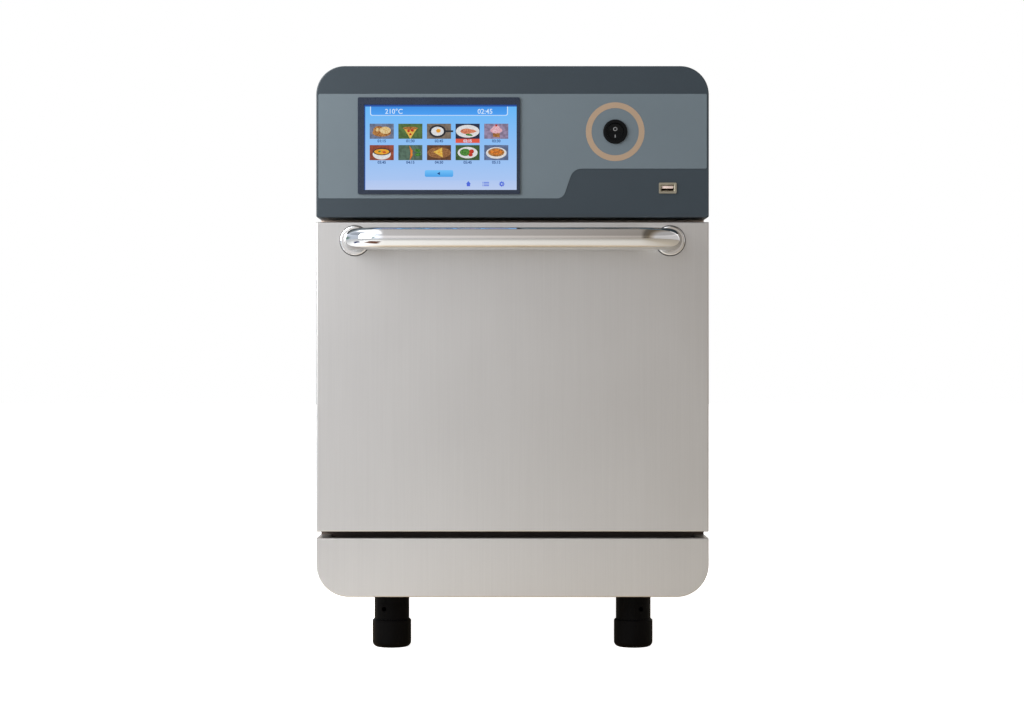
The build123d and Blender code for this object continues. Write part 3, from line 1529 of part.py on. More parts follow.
def fan_rotor():
    """The fan's rotor: a hub that turns on the frame's pin, with pitched blades."""
    y = rear_y - rear_sheet - fan_depth + fan_hub_depth + fan_rotor_gap
    length = fan_depth - fan_hub_depth - 2 * fan_rotor_gap
    hub = bar((fan_x, y, fan_z), (0, 1, 0), fan_hub_radius, length)
    tip = fan_bore - fan_tip_clearance
    width = (length - fan_rotor_gap) / sin(radians(90 - fan_blade_tilt)) - fan_blade_sheet
    blade = block(fan_hub_radius / 2, tip, -width / 2, width / 2, -fan_blade_sheet / 2, fan_blade_sheet / 2)
    middle = Pos(fan_x, y + length / 2, fan_z)
    rotor = hub + [middle * Rot(0, 360 * i / fan_blades, 0) * Rot(fan_blade_tilt, 0, 0) * blade
                   for i in range(fan_blades)]
    rotor &= bar((fan_x, y, fan_z), (0, 1, 0), tip, length)
    return rotor - bar((fan_x, y - overrun, fan_z), (0, 1, 0), fan_pin_radius + running_clearance,
                       fan_pin_length - fan_rotor_gap + overrun + running_clearance)


guard_rings = 5
guard_wire = 1.0
guard_foot_radius = 5.0
guard_foot_sheet = 1.5
guard_radials = 4


def fan_guard():
    """The wire finger guard on the outside of the fan's opening."""
    y = rear_y + guard_foot_sheet + guard_wire / 2
    pitch = (fan_bore - guard_wire) / guard_rings
    guard = [Pos(fan_x, y, fan_z) * Rot(90, 0, 0) * Torus(pitch * (i + 1), guard_wire)
             for i in range(guard_rings)]
    corner = fan_size / 2 - guard_foot_radius
    length = corner * 2 ** 0.5
    solid = guard[0]
    for i in range(guard_radials):
        angle = pi / 4 + 2 * pi * i / guard_radials
        direction = (cos(angle), 0, sin(angle))
        start = (fan_x, y, fan_z)
        solid += bar(start, direction, guard_wire, length)
        foot = (fan_x + cos(angle) * length, rear_y, fan_z + sin(angle) * length)
        solid += bar(foot, (0, 1, 0), guard_foot_radius, guard_foot_sheet)
    return solid + guard[1:]


vent_wall = 1.5
vent_flange_radius = 22.0
vent_flange_sheet = 1.5
vent_reach = 9.0
vent_cap_slot = 3.0
vent_cap_slots = 4


def vent_tube():
    """The steam vent from the duct out through the rear panel, with a slotted cap."""
    end = rear_y + vent_reach
    vent = bar((vent_x, duct_back, vent_z), (0, 1, 0), vent_radius, end - duct_back)
    vent += bar((vent_x, duct_back, vent_z), (0, 1, 0), vent_flange_radius, vent_flange_sheet)
    vent -= bar((vent_x, duct_back - overrun, vent_z), (0, 1, 0), vent_radius - vent_wall,
                end - vent_wall - duct_back + overrun)
    pitch = 2 * vent_cap_slot
    for z in spread(vent_z, pitch, vent_cap_slots):
        half = ((vent_radius - 2 * vent_wall) ** 2 - (abs(z - vent_z) + vent_cap_slot / 2) ** 2) ** 0.5
        vent -= block(vent_x - half, vent_x + half, end - 2 * vent_wall, end + overrun,
                      z - vent_cap_slot / 2, z + vent_cap_slot / 2)
    return vent


gland_bore = 6.5
gland_nut_radius = 14.0
gland_nut_depth = 5.0
gland_nose_radius = 10.5
gland_nose_depth = 8.0
gland_inner_depth = 11.0


def cable_gland():
    """The supply cable's gland: a hexagon and nose outside, a lock nut inside, and a clear bore."""
    hexagon = Pos(0, gland_z) * RegularPolygon(gland_nut_radius, 6)
    gland = from_front(hexagon, rear_y, gland_nut_depth)
    gland += bar((0, rear_y, gland_z), (0, 1, 0), gland_nose_radius, gland_nut_depth + gland_nose_depth)
    inner_y = rear_y - rear_sheet - gland_inner_depth
    gland += bar((0, inner_y, gland_z), (0, 1, 0), gland_radius, gland_inner_depth + rear_sheet)
    gland += from_front(hexagon, rear_y - rear_sheet - gland_nut_depth, gland_nut_depth)
    return gland - bar((0, inner_y - overrun, gland_z), (0, 1, 0), gland_bore,
                       rear_y + gland_nut_depth + gland_nose_depth + 2 * overrun - inner_y)


# Legs: a fixed sleeve, and a foot that screws down out of it
sleeve_radius = 18.0
foot_radius = 20.0
foot_height = 29.0
foot_floor = 10.0
foot_wall_clearance = 0.3
foot_edge_radius = 5.5
foot_top_chamfer = 1.4
stud_radius = 6.0
stud_length = 24.0
stud_room = 26.0
sleeve_gap = 0.5
sleeve_pin_hole = 2.5
sleeve_pin_rise = 22.0
sleeve_pin_turn = 24.0
leg_bolt_length = 14.0
leg_bolt_room = 16.0


def leg_seat(y):
    """The underside that a leg stands against: the lower panel's in front, the pan's at the rear."""
    return leg_height if y == front_leg_y else casing_low


def leg_sleeves():
    """The four black sleeves, two under the lower panel and two under the base pan."""
    sleeves = []
    low = foot_floor + sleeve_gap
    for x, y in leg_places:
        top = leg_seat(y)
        sleeve = bar((x, y, low), (0, 0, 1), sleeve_radius, top - low)
        sleeve -= bar((x, y, low - overrun), (0, 0, 1), stud_radius + running_clearance, stud_room + overrun)
        sleeve -= bar((x, y, top - leg_bolt_room), (0, 0, 1), leg_bolt_radius, leg_bolt_room + overrun)
        turn = radians(sleeve_pin_turn if x > 0 else -sleeve_pin_turn)
        across, along = sin(turn), -cos(turn)
        reach = sleeve_radius / 2
        sleeve -= bar((x + reach * across, y + reach * along, foot_height + sleeve_pin_rise / 2),
                      (across, along, 0), sleeve_pin_hole, reach + overrun)
        sleeves.append(sleeve)
    return group(sleeves)


def leg_bolts():
    """The bolts that hold the sleeves, with their heads inside the lower panel and the pan."""
    bolts = []
    for x, y in leg_places:
        top = leg_seat(y)
        sheet = front_sheet if y == front_leg_y else pan_sheet
        bolt = from_above(Pos(x, y) * RegularPolygon(leg_bolt_head_radius, 6), top + sheet,
                          leg_bolt_head_height)
        bolt += bar((x, y, top - leg_bolt_length), (0, 0, 1), leg_bolt_radius - running_clearance,
                    leg_bolt_length + sheet)
        bolts.append(bolt)
    return group(bolts)


def foot(x, y):
    """One adjustable foot: a cup round the sleeve's end, and the stud that screws into it."""
    cup = bar((x, y, 0), (0, 0, 1), foot_radius, foot_height)
    cup = fillet(cup.faces().sort_by(Axis.Z)[0].edges(), foot_edge_radius)
    cup = chamfer(cup.faces().sort_by(Axis.Z)[-1].edges(), foot_top_chamfer)
    cup -= bar((x, y, foot_floor), (0, 0, 1), sleeve_radius + foot_wall_clearance, foot_height)
    return cup + bar((x, y, foot_floor), (0, 0, 1), stud_radius, stud_length)


pieces = {
    "base_pan": base_pan,
    "outer_cover": outer_cover,
    "rear_panel": rear_panel,
    "casing_screws": casing_screws,
    "filter_cassette": filter_cassette,
    "front_frame": front_frame,
    "hinge_brackets": hinge_brackets,
    "lower_front_panel": lower_front_panel,
    "control_housing": control_housing,
    "graphic_overlay": graphic_overlay,
    "display_bezel": display_bezel,
    "touch_glass": touch_glass,
    "lcd_module": lcd_module,
    "control_board": control_board,
    "rocker_housing": rocker_housing,
    "rocker_paddle": rocker_paddle,
    "usb_port": usb_port,
    "door_skin": door_skin,
    "door_inner_panel": door_inner_panel,
    "choke_cover": choke_cover,
    "door_gasket": door_gasket,
    "door_insulation": door_insulation,
    "handle_tube": handle_tube,
    "handle_flanges": handle_flanges,
    "handle_bolts": handle_bolts,
    "hinge_clevises": hinge_clevises,
    "hinge_pins": hinge_pins,
    "hinge_washers": hinge_washers,
    "interlock_fingers": interlock_fingers,
    "interlock_switches": interlock_switches,
    "interlock_plungers": interlock_plungers,
    "cavity_liner": cavity_liner,
    "air_duct": air_duct,
    "insulation": insulation,
    "jet_plate": jet_plate,
    "return_grille": return_grille,
    "ceramic_floor": ceramic_floor,
    "rack_rails": rack_rails,
    "wire_rack": wire_rack,
    "heater_element": heater_element,
    "blower_wheel": blower_wheel,
    "blower_motor": blower_motor,
    "waveguide": waveguide,
    "magnetron": magnetron,
    "stirrer_motor": stirrer_motor,
    "mode_stirrer": mode_stirrer,
    "hv_transformer": hv_transformer,
    "hv_capacitor": hv_capacitor,
    "power_board": power_board,
    "fan_frame": fan_frame,
    "fan_rotor": fan_rotor,
    "fan_guard": fan_guard,
    "vent_tube": vent_tube,
    "cable_gland": cable_gland,
    "leg_sleeves": leg_sleeves,
    "leg_bolts": leg_bolts,
}
foot_names = ("foot_front_left", "foot_rear_left", "foot_front_right", "foot_rear_right")

os.makedirs("parts", exist_ok=True)
for name, make in pieces.items():
    export_step(make(), f"parts/{name}.step")
for name, (x, y) in zip(foot_names, leg_places):
    export_step(foot(x, y), f"parts/{name}.step")
print("hinge axis y", hinge_y, "z", hinge_z)
print("rocker pivot", rocker_x, rocker_pivot_y, rocker_z)
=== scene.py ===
"""Speed oven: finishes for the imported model, the pieces that only the eye needs, and the stage."""

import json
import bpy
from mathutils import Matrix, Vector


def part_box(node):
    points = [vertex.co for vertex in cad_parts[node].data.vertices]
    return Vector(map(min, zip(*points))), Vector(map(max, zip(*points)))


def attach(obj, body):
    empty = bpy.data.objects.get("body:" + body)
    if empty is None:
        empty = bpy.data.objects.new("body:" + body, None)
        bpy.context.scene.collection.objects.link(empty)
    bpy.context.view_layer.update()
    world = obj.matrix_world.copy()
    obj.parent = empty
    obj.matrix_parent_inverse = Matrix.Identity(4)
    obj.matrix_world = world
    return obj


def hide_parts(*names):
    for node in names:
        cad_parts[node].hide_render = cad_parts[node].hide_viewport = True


bl_info = {
    "name": "Speed Oven Finishes",
    "version": (1, 0, 0),
    "blender": (4, 5, 0),
    "location": "View3D > Sidebar > Oven",
    "description": "Finishes the packed speed oven and sets it on a pale stage",
    "category": "Object",
}

from contextlib import contextmanager
from math import cos, pi, radians, sin

import bmesh
import bpy
from bpy.props import FloatProperty, IntProperty, PointerProperty, StringProperty
from bpy.types import Operator, Panel, PropertyGroup
from mathutils import Matrix, Vector

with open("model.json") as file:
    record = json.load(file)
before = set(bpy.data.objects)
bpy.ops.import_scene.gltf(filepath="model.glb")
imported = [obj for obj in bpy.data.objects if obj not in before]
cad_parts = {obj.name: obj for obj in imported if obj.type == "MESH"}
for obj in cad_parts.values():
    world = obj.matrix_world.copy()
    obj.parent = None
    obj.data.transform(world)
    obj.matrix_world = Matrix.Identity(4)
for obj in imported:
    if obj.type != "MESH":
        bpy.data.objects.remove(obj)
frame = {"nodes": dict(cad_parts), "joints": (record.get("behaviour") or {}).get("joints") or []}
NODES = frame["nodes"]
JOINTS = {joint["name"]: joint for joint in frame["joints"]}
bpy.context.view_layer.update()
MM = 0.001


# ---------------------------------------------------------------- colours and nodes


def linear(code):
    """An sRGB hex colour as the linear RGBA that shaders take."""
    parts = [int(code[i:i + 2], 16) / 255 for i in (1, 3, 5)]
    return [c / 12.92 if c <= 0.04045 else ((c + 0.055) / 1.055) ** 2.4 for c in parts] + [1.0]


def live(value):
    """The output that a node gives, the colour of a hex code, or else the value itself."""
    if isinstance(value, bpy.types.Node):
        return next(output for output in value.outputs if output.enabled)
    return linear(value) if isinstance(value, str) else value


def add(tree, kind, sockets=None, **settings):
    """Adds a node with its settings, and sets or links its sockets."""
    made = tree.nodes.new("ShaderNode" + kind)
    for name, value in settings.items():
        setattr(made, name, value)
    for name, value in (sockets or {}).items():
        value = live(value)
        if isinstance(value, bpy.types.NodeSocket):
            tree.links.new(value, made.inputs[name])
        else:
            made.inputs[name].default_value = value
    return made


def along(tree, axis):
    """How far along an axis a point of the piece lies."""
    point = add(tree, "TexCoord").outputs["Object"]
    return add(tree, "SeparateXYZ", {0: point}).outputs[axis]


def pattern(tree, size_mm, sockets=None, kind="TexNoise", turn=(0, 0, 0)):
    """A texture on the piece, whose features measure size_mm, or one such size for each axis."""
    sizes = size_mm if isinstance(size_mm, tuple) else (size_mm,) * 3
    point = add(tree, "TexCoord").outputs["Object"]
    scaled = add(tree, "Mapping", {
        "Vector": point, "Rotation": turn, "Scale": [1 / (size * MM) for size in sizes]})
    return add(tree, kind, {"Vector": scaled, "Scale": 1.0, **(sockets or {})})


def blend(tree, factor, first, second, start=0.3, end=0.7):
    """Goes from one level or colour to another while a factor runs from start to end."""
    ends = [live(first), live(second)]
    if any(isinstance(side, list) or getattr(side, "type", "") == "RGBA" for side in ends):
        run = add(tree, "MapRange", {0: factor, 1: start, 2: end})
        return add(tree, "Mix", {0: run, 6: ends[0], 7: ends[1]}, data_type="RGBA")
    return add(tree, "MapRange", {0: factor, 1: start, 2: end, 3: ends[0], 4: ends[1]})


def begin(name):
    """The empty node tree of a new material."""
    made = bpy.data.materials.new(name)
    made.use_nodes = True
    made.node_tree.nodes.clear()
    return made.node_tree


def surface(tree, colour, rough, height=None, depth_mm=0.0, strength=1.0, **plain):
    """Ends a material with its shader, its relief depth_mm deep and further sockets by name."""
    sockets = {"Base Color": colour, "Roughness": rough}
    for key, value in plain.items():
        sockets[key.replace("_", " ").title().replace("Ior", "IOR")] = value
    if height is not None:
        sockets["Normal"] = add(tree, "Bump", {
            "Height": height, "Distance": depth_mm * MM, "Strength": strength})
    add(tree, "OutputMaterial", {"Surface": add(tree, "BsdfPrincipled", sockets)})


# ---------------------------------------------------------------- finishes


def brushed_stainless(name, pale, dark, grain_mm, rough):
    """Sheet stainless, belt brushed."""
    # Fine parallel scratches blur what it mirrors into long soft streaks, and wiping leaves
    # broad duller patches. Real scratches are 0.05 mm wide, and are drawn wider so that they show.
    tree = begin(name)
    scratches = pattern(tree, grain_mm, {"Detail": 3.0})
    wiped = blend(tree, pattern(tree, (70, 70, 90)), rough - 0.01, rough + 0.02)
    streaked = add(tree, "Math", {0: wiped, 1: blend(tree, scratches, -0.01, 0.012)},
                   operation="ADD")
    surface(tree, blend(tree, scratches, dark, pale, 0.25, 0.75), streaked,
            scratches, 0.02, 0.05, metallic=1.0)


def bright_stainless(name, colour, rough):
    """Cold-rolled stainless with a bright mill finish, as inside a cooking cavity."""
    # Nearly a mirror, but faintly rippled, and a little straw coloured from heat.
    tree = begin(name)
    ripples = pattern(tree, 35, {"Detail": 1.0})
    surface(tree, blend(tree, pattern(tree, 120), colour, "#cfc4b0"),
            blend(tree, ripples, rough - 0.04, rough + 0.06), ripples, 0.3, 0.15, metallic=1.0)


def polished_stainless(name, colour, rough):
    """Stainless tube or wire, buffed to a mirror."""
    # Sharp reflections with faint buffing marks that only widen the highlights.
    tree = begin(name)
    marks = pattern(tree, (6, 1.2, 1.2))
    surface(tree, colour, blend(tree, marks, rough, rough + 0.05), marks, 0.01, 0.08,
            metallic=1.0)


def galvanised_steel(name):
    """Hot-dip galvanised sheet."""
    # Zinc crystals a few millimetres across, each a slightly different blue grey.
    tree = begin(name)
    crystals = pattern(tree, 7, kind="TexVoronoi")
    grey = add(tree, "RGBToBW", {0: crystals.outputs["Color"]})
    surface(tree, blend(tree, grey, "#a9acad", "#b8bbbc", 0, 1),
            blend(tree, grey, 0.42, 0.52, 0, 1), crystals, 0.02, 0.1, metallic=1.0)


def powder_coat(name, colour, deep, rough):
    """Baked epoxy powder on steel."""
    # The cured powder keeps an orange-peel skin about a millimetre coarse under a soft sheen.
    tree = begin(name)
    peel = pattern(tree, 1.4)
    cloud = pattern(tree, (90, 90, 60), {"Detail": 1.0})
    surface(tree, blend(tree, cloud, colour, deep, 0, 1),
            blend(tree, peel, rough - 0.04, rough + 0.05), peel, 0.05, 0.3, ior=1.5)


def printed_film(name, colour, deep):
    """Back-printed polycarbonate film with a velvet face."""
    # Even colour, a fine sparkle of texture, and a wide dull highlight.
    tree = begin(name)
    velvet = pattern(tree, 0.9)
    cloud = pattern(tree, (120, 120, 60), {"Detail": 1.0})
    surface(tree, blend(tree, cloud, colour, deep, 0, 1), blend(tree, velvet, 0.42, 0.52),
            velvet, 0.02, 0.25, ior=1.58)


def dark_enamel(name, colour, lit_band_colour, lit_band_mm, rough):
    """Heat-proof enamel fired on steel."""
    # A glassy brown-black coat that sags a little as it melts, so its gloss is faintly uneven.
    # From a little below the control box upwards the colour is painted pale: painted light on the
    # top of the frame, where the control box lies over it.
    tree = begin(name)
    sag = pattern(tree, 16)
    enamel_and_lit_band = blend(tree, along(tree, "Z"), colour, lit_band_colour,
                  (lit_band_mm - 0.5) * MM, (lit_band_mm + 0.5) * MM)
    surface(tree, enamel_and_lit_band, blend(tree, sag, rough - 0.06, rough + 0.06), sag, 0.05, 0.2,
            ior=1.5, specular_ior_level=0.3)


def moulded_plastic(name, colour, rough, grain_mm, gloss=0.5):
    """Injection-moulded ABS or nylon."""
    # Spark-eroded tools leave a fine even grain, which scatters the highlight.
    tree = begin(name)
    grain = pattern(tree, grain_mm)
    worn = [min(1.0, c * 1.25) for c in linear(colour)[:3]] + [1.0]
    surface(tree, blend(tree, pattern(tree, 25), colour, worn),
            blend(tree, grain, rough - 0.05, rough + 0.06), grain, 0.03, 0.3,
            ior=1.5, specular_ior_level=gloss)


def silicone_rubber(name, colour):
    """Extruded silicone seal."""
    # Matt with a slight bloom, and faint lines along the extrusion.
    tree = begin(name)
    lines = pattern(tree, 2, {"Detail": 3.0})
    surface(tree, blend(tree, lines, colour, "#3a3a3d", 0, 1), blend(tree, lines, 0.55, 0.7),
            lines, 0.04, 0.4, ior=1.41, sheen_weight=0.15, sheen_roughness=0.5)


def open_foam(name):
    """Open-cell polyurethane foam."""
    # Charcoal and dull, with pores of a millimetre that swallow the light.
    tree = begin(name)
    pores = pattern(tree, 1.1)
    surface(tree, blend(tree, pores, "#131415", "#3a3c3e"), blend(tree, pores, 0.9, 1.0),
            pores, 0.5, 0.7, ior=1.45, specular_ior_level=0.1)


def zinc_plate(name):
    """Bright zinc plate with a clear passivate."""
    # Silvery with a hint of blue and yellow that shifts over a few millimetres.
    tree = begin(name)
    film = pattern(tree, 6)
    surface(tree, blend(tree, film, "#c9ced4", "#d6cfba"), blend(tree, film, 0.22, 0.36),
            film, 0.02, 0.2, metallic=1.0)


def ceramic_fibre(name, colour):
    """Blown ceramic fibre blanket."""
    # Off-white wool of crossed fibres, without any gloss.
    tree = begin(name)
    fibres = pattern(tree, (0.8, 9, 0.8), {"Detail": 4.0}, turn=(0.4, 0.2, 0.7))
    crossed = pattern(tree, (9, 0.8, 0.8), {"Detail": 4.0}, turn=(0.1, 0.5, 0.2))
    wool = add(tree, "Math", {0: fibres, 1: crossed}, operation="MULTIPLY")
    surface(tree, blend(tree, wool, "#b9b19c", colour, 0.1, 0.4), blend(tree, wool, 0.85, 0.95),
            wool, 0.8, 0.7, ior=1.45, sheen_weight=0.3, sheen_roughness=0.6)


def glazed_ceramic(name):
    """White cordierite plate with a thin glaze."""
    # A warm white body whose specks show through a glassy coat, with faint stains.
    tree = begin(name)
    specks = pattern(tree, 1.6, {"Detail": 4.0})
    body = blend(tree, specks, "#b8b0a0", "#ece8dd", 0.25, 0.45)
    stain = blend(tree, pattern(tree, 45), 0, 0.25, 0.5, 0.8)
    surface(tree, blend(tree, stain, body, "#c9b896", 0, 1), blend(tree, specks, 0.3, 0.45),
            specks, 0.03, 0.2, ior=1.5, coat_weight=0.6, coat_roughness=0.12)


def circuit_board(name):
    """Glass-epoxy board under green solder mask."""
    # Straight copper tracks show as paler lines through the glossy lacquer.
    tree = begin(name)
    tracks = pattern(tree, 7, {"Color1": "#0f4a28", "Color2": "#14552f", "Mortar": "#2f7a4a",
                               "Mortar Size": 0.06}, kind="TexBrick")
    surface(tree, tracks, blend(tree, pattern(tree, 3), 0.3, 0.4),
            ior=1.5, coat_weight=0.4, coat_roughness=0.15)


def cast_aluminium(name, colour, rough):
    """Die-cast or rolled aluminium."""
    # A pale grey metal skin with a grainy flow pattern.
    tree = begin(name)
    skin = pattern(tree, 1.5, {"Detail": 4.0})
    surface(tree, blend(tree, skin, "#8d9094", colour, 0, 1),
            blend(tree, skin, rough - 0.06, rough + 0.08), skin, 0.06, 0.3, metallic=1.0)


def varnished_winding(name):
    """Copper wire wound in layers under brown varnish."""
    # Parallel turns 1.2 mm apart catch the light as thin amber lines.
    tree = begin(name)
    point = add(tree, "TexCoord").outputs["Object"]
    turns = add(tree, "TexWave", {"Vector": point, "Scale": 1 / (pi * 1.2 * MM), "Distortion": 0.3},
                bands_direction="Z").outputs[1]
    surface(tree, blend(tree, turns, "#5a2c16", "#a8622e", 0, 1),
            blend(tree, turns, 0.3, 0.45, 0, 1), turns, 0.5, 0.5,
            metallic=0.6, coat_weight=0.5, coat_roughness=0.25)


def tin_plate(name, shallow_mm, deep_mm):
    """Tin-plated brass shell of a socket."""
    # Warm pale metal, satin from the plating bath, with rub marks, and dark brown painted shade
    # inside it.
    tree = begin(name)
    rubs = pattern(tree, (0.6, 2.5, 0.6), {"Detail": 3.0})
    plated = blend(tree, rubs, "#958f80", "#b3ae9d", 0, 1)
    shell = blend(tree, along(tree, "Y"), plated, "#3a281c", shallow_mm * MM, deep_mm * MM)
    surface(tree, shell, blend(tree, rubs, 0.3, 0.45), rubs, 0.02, 0.3, metallic=1.0)


def touch_panel(name):
    """Black-bordered touch glass, unlit."""
    # Deep and glossy, with faint finger smears.
    tree = begin(name)
    smears = pattern(tree, (14, 14, 8), {"Detail": 3.0})
    surface(tree, "#10161f", blend(tree, smears, 0.05, 0.2), smears, 0.01, 0.1, ior=1.5)


def backlit(tree, colour, glow):
    """Ends a lit patch: it shines by itself, under the weak even gloss of a thin polariser."""
    surface(tree, "#000000", 0.25, ior=1.45, specular_ior_level=0.25,
            emission_color=colour, emission_strength=glow)


def lit_picture(name, low_colour, high_colour, low, high, glow):
    """Liquid-crystal picture with a light behind it."""
    # Its colour is graded between two heights, as plain grounds of a menu are.
    tree = begin(name)
    backlit(tree, blend(tree, along(tree, "Z"), low_colour, high_colour, low, high), glow)


def lit_food(name, first, second, size_mm, glow):
    """A patch of a liquid-crystal picture that shows crust, leaf or sauce."""
    # Two colours of the same food in blobs a millimetre or so wide, as in a small photograph.
    tree = begin(name)
    blobs = pattern(tree, size_mm, {"Detail": 3.0})
    backlit(tree, blend(tree, blobs, first, second, 0.4, 0.6), glow)


def printed_ink(name, colour, rough):
    """Screen-printed ink."""
    # Opaque and slightly raised, with the pinholes of the screen.
    tree = begin(name)
    pinholes = pattern(tree, 0.7)
    dull = [c * 0.88 for c in linear(colour)[:3]] + [1.0]
    surface(tree, blend(tree, pinholes, dull, colour),
            blend(tree, pinholes, rough - 0.05, rough + 0.05), pinholes, 0.01, 0.3, ior=1.5)


def make_finishes(colours):
    """Makes all materials but those of the stage and the screen."""
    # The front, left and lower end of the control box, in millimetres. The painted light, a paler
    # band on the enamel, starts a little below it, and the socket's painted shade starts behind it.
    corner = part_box("control_housing")[0] / MM
    lit_band, socket_shade = corner.z - 3.5, (corner.y, corner.y + 1.0)
    # The grain runs upright on the door and the rear, and lengthwise on the cover.
    brushed_stainless("door_stainless", colours.door_pale, colours.door_deep, (0.9, 0.9, 120),
                      0.36)
    brushed_stainless("cover_stainless", "#c6c4c1", "#bebcb9", (0.8, 110, 0.8), 0.36)
    brushed_stainless("rear_stainless", "#c6c4c1", "#bebcb9", (0.8, 0.8, 110), 0.38)
    bright_stainless("cavity_stainless", "#c9c9c8", 0.22)
    dark_enamel("brown_enamel", "#5c514a", "#dccabd", lit_band, 0.42)
    polished_stainless("polished_tube", "#dcdcdc", 0.04)
    polished_stainless("polished_wire", "#d4d4d4", 0.1)
    galvanised_steel("galvanised_sheet")
    powder_coat("slate_powder_coat", colours.housing, colours.housing_deep, 0.42)
    printed_film("grey_film", colours.film, colours.film_deep)
    moulded_plastic("bezel_abs", colours.bezel, 0.3, 0.8, 0.35)
    moulded_plastic("black_nylon", "#17181a", 0.48, 0.9, 0.3)
    moulded_plastic("rocker_abs", "#07090b", 0.3, 0.7, 0.1)
    moulded_plastic("foot_nylon", "#060607", 0.46, 1.0, 0.04)
    moulded_plastic("cream_pps", "#d9d5c8", 0.5, 1.0)
    moulded_plastic("socket_tongue_pbt", "#c8b5ae", 0.35, 0.6)
    silicone_rubber("grey_silicone", "#26262a")
    open_foam("filter_foam")
    zinc_plate("zinc_plated_steel")
    ceramic_fibre("fibre_blanket", "#e6e1d4")
    glazed_ceramic("glazed_cordierite")
    circuit_board("green_board")
    cast_aluminium("motor_casting", "#a4a7aa", 0.45)
    cast_aluminium("satin_aluminium", "#cdced0", 0.32)
    varnished_winding("copper_winding")
    tin_plate("socket_tin_plate", *socket_shade)
    touch_panel("touch_panel")
    printed_ink("ring_ink", colours.ring, 0.5)
    printed_ink("grey_ink", "#8f9295", 0.45)


FINISH_OF = {
    "door_stainless": ("door_skin", "lower_front_panel"),
    "cover_stainless": ("outer_cover",),
    "rear_stainless": ("rear_panel", "filter_cassette"),
    "cavity_stainless": ("cavity_liner", "jet_plate", "return_grille", "rack_rails", "blower_wheel",
                         "heater_element", "door_inner_panel", "vent_tube"),
    "brown_enamel": ("front_frame",),
    "polished_tube": ("handle_tube", "handle_flanges"),
    "polished_wire": ("wire_rack", "fan_guard"),
    "galvanised_sheet": ("base_pan", "air_duct"),
    "slate_powder_coat": ("control_housing",),
    "grey_film": ("graphic_overlay",),
    "bezel_abs": ("display_bezel",),
    "black_nylon": ("fan_frame", "fan_rotor", "cable_gland", "interlock_fingers",
                    "interlock_switches"),
    "rocker_abs": ("rocker_housing", "rocker_paddle"),
    "foot_nylon": ("leg_sleeves", "foot_front_left", "foot_rear_left", "foot_front_right",
                   "foot_rear_right"),
    "cream_pps": ("choke_cover", "interlock_plungers"),
    "grey_silicone": ("door_gasket",),
    "zinc_plated_steel": ("casing_screws", "hinge_brackets", "handle_bolts", "hinge_clevises",
                          "hinge_pins", "hinge_washers", "leg_bolts"),
    "fibre_blanket": ("insulation", "door_insulation"),
    "glazed_cordierite": ("ceramic_floor",),
    "green_board": ("control_board", "power_board"),
    "motor_casting": ("blower_motor", "stirrer_motor"),
    "satin_aluminium": ("waveguide", "magnetron", "mode_stirrer", "hv_capacitor"),
    "copper_winding": ("hv_transformer",),
    "socket_tin_plate": ("usb_port",),
    "touch_panel": ("touch_glass", "lcd_module"),
}


# ---------------------------------------------------------------- modelling by hand


def clear_selection():
    """Leaves edit mode with nothing selected."""
    if bpy.context.object and bpy.context.object.mode != "OBJECT":
        bpy.ops.object.mode_set(mode="OBJECT")
    bpy.ops.object.select_all(action="DESELECT")


def only(piece):
    """Makes one piece active and selects nothing else."""
    clear_selection()
    bpy.context.view_layer.objects.active = piece
    piece.select_set(True)


@contextmanager
def editing():
    """Edit mode with everything selected, and then object mode again."""
    bpy.ops.object.mode_set(mode="EDIT")
    bpy.ops.mesh.select_all(action="SELECT")
    yield
    bpy.ops.object.mode_set(mode="OBJECT")


def current(name, scale=(1, 1, 1)):
    """The piece just added, named and scaled, with its place put in its mesh."""
    piece = bpy.context.object
    piece.name = piece.data.name = name
    piece.scale = scale
    bpy.ops.object.transform_apply(location=True, rotation=True, scale=True)
    return piece


def pick(test):
    """In edit mode, selects only the faces that pass a test."""
    mesh = bpy.context.object.data
    bpy.ops.mesh.select_mode(type="FACE")
    bpy.ops.mesh.select_all(action="DESELECT")
    shape = bmesh.from_edit_mesh(mesh)
    for face in shape.faces:
        if test(face):
            face.select_set(True)
    shape.select_flush_mode()
    bmesh.update_edit_mesh(mesh)


def modify(piece, kind, **settings):
    """Adds a modifier to a piece and applies it."""
    made = piece.modifiers.new(kind.title(), kind)
    for name, value in settings.items():
        setattr(made, name, value)
    bpy.context.view_layer.objects.active = piece
    bpy.ops.object.modifier_apply(modifier=made.name)


def outward(piece):
    """Merges doubled points and turns the faces outwards."""
    only(piece)
    with editing():
        bpy.ops.mesh.remove_doubles(threshold=1e-6)
        bpy.ops.mesh.normals_make_consistent(inside=False)


def smooth(piece, degrees=35):
    """Shades a piece smooth, but keeps its edges."""
    only(piece)
    bpy.ops.object.shade_smooth_by_angle(angle=radians(degrees))


def place(piece, body, finish=None):
    """Gives a piece its material and the body that it rides on."""
    if finish is not None:
        piece.data.materials.clear()
        piece.data.materials.append(bpy.data.materials[finish])
    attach(piece, body)


def join(pieces, name):
    """Makes one piece of several, which keep their materials."""
    clear_selection()
    for piece in pieces:
        piece.select_set(True)
    bpy.context.view_layer.objects.active = pieces[0]
    bpy.ops.object.join()
    joined = bpy.context.object
    joined.name = joined.data.name = name
    return joined


def copied(piece, turn, point):
    """A copy of a piece with its own mesh, turned and moved."""
    made = piece.copy()
    made.data = piece.data.copy()
    bpy.context.scene.collection.objects.link(made)
    made.data.transform(Matrix.Translation(point) @ turn)
    return made


def middle_of(node):
    """The middle of a CAD node's box."""
    low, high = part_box(node)
    return (low + high) / 2


def paint(name, description, default):
    """A colour that a user may change, as sRGB hex."""
    return StringProperty(name=name, description=description, default=default)


def length(name, description, default):
    """A length that a user may change, in metres."""
    return FloatProperty(name=name, description=description, default=default, unit="LENGTH")


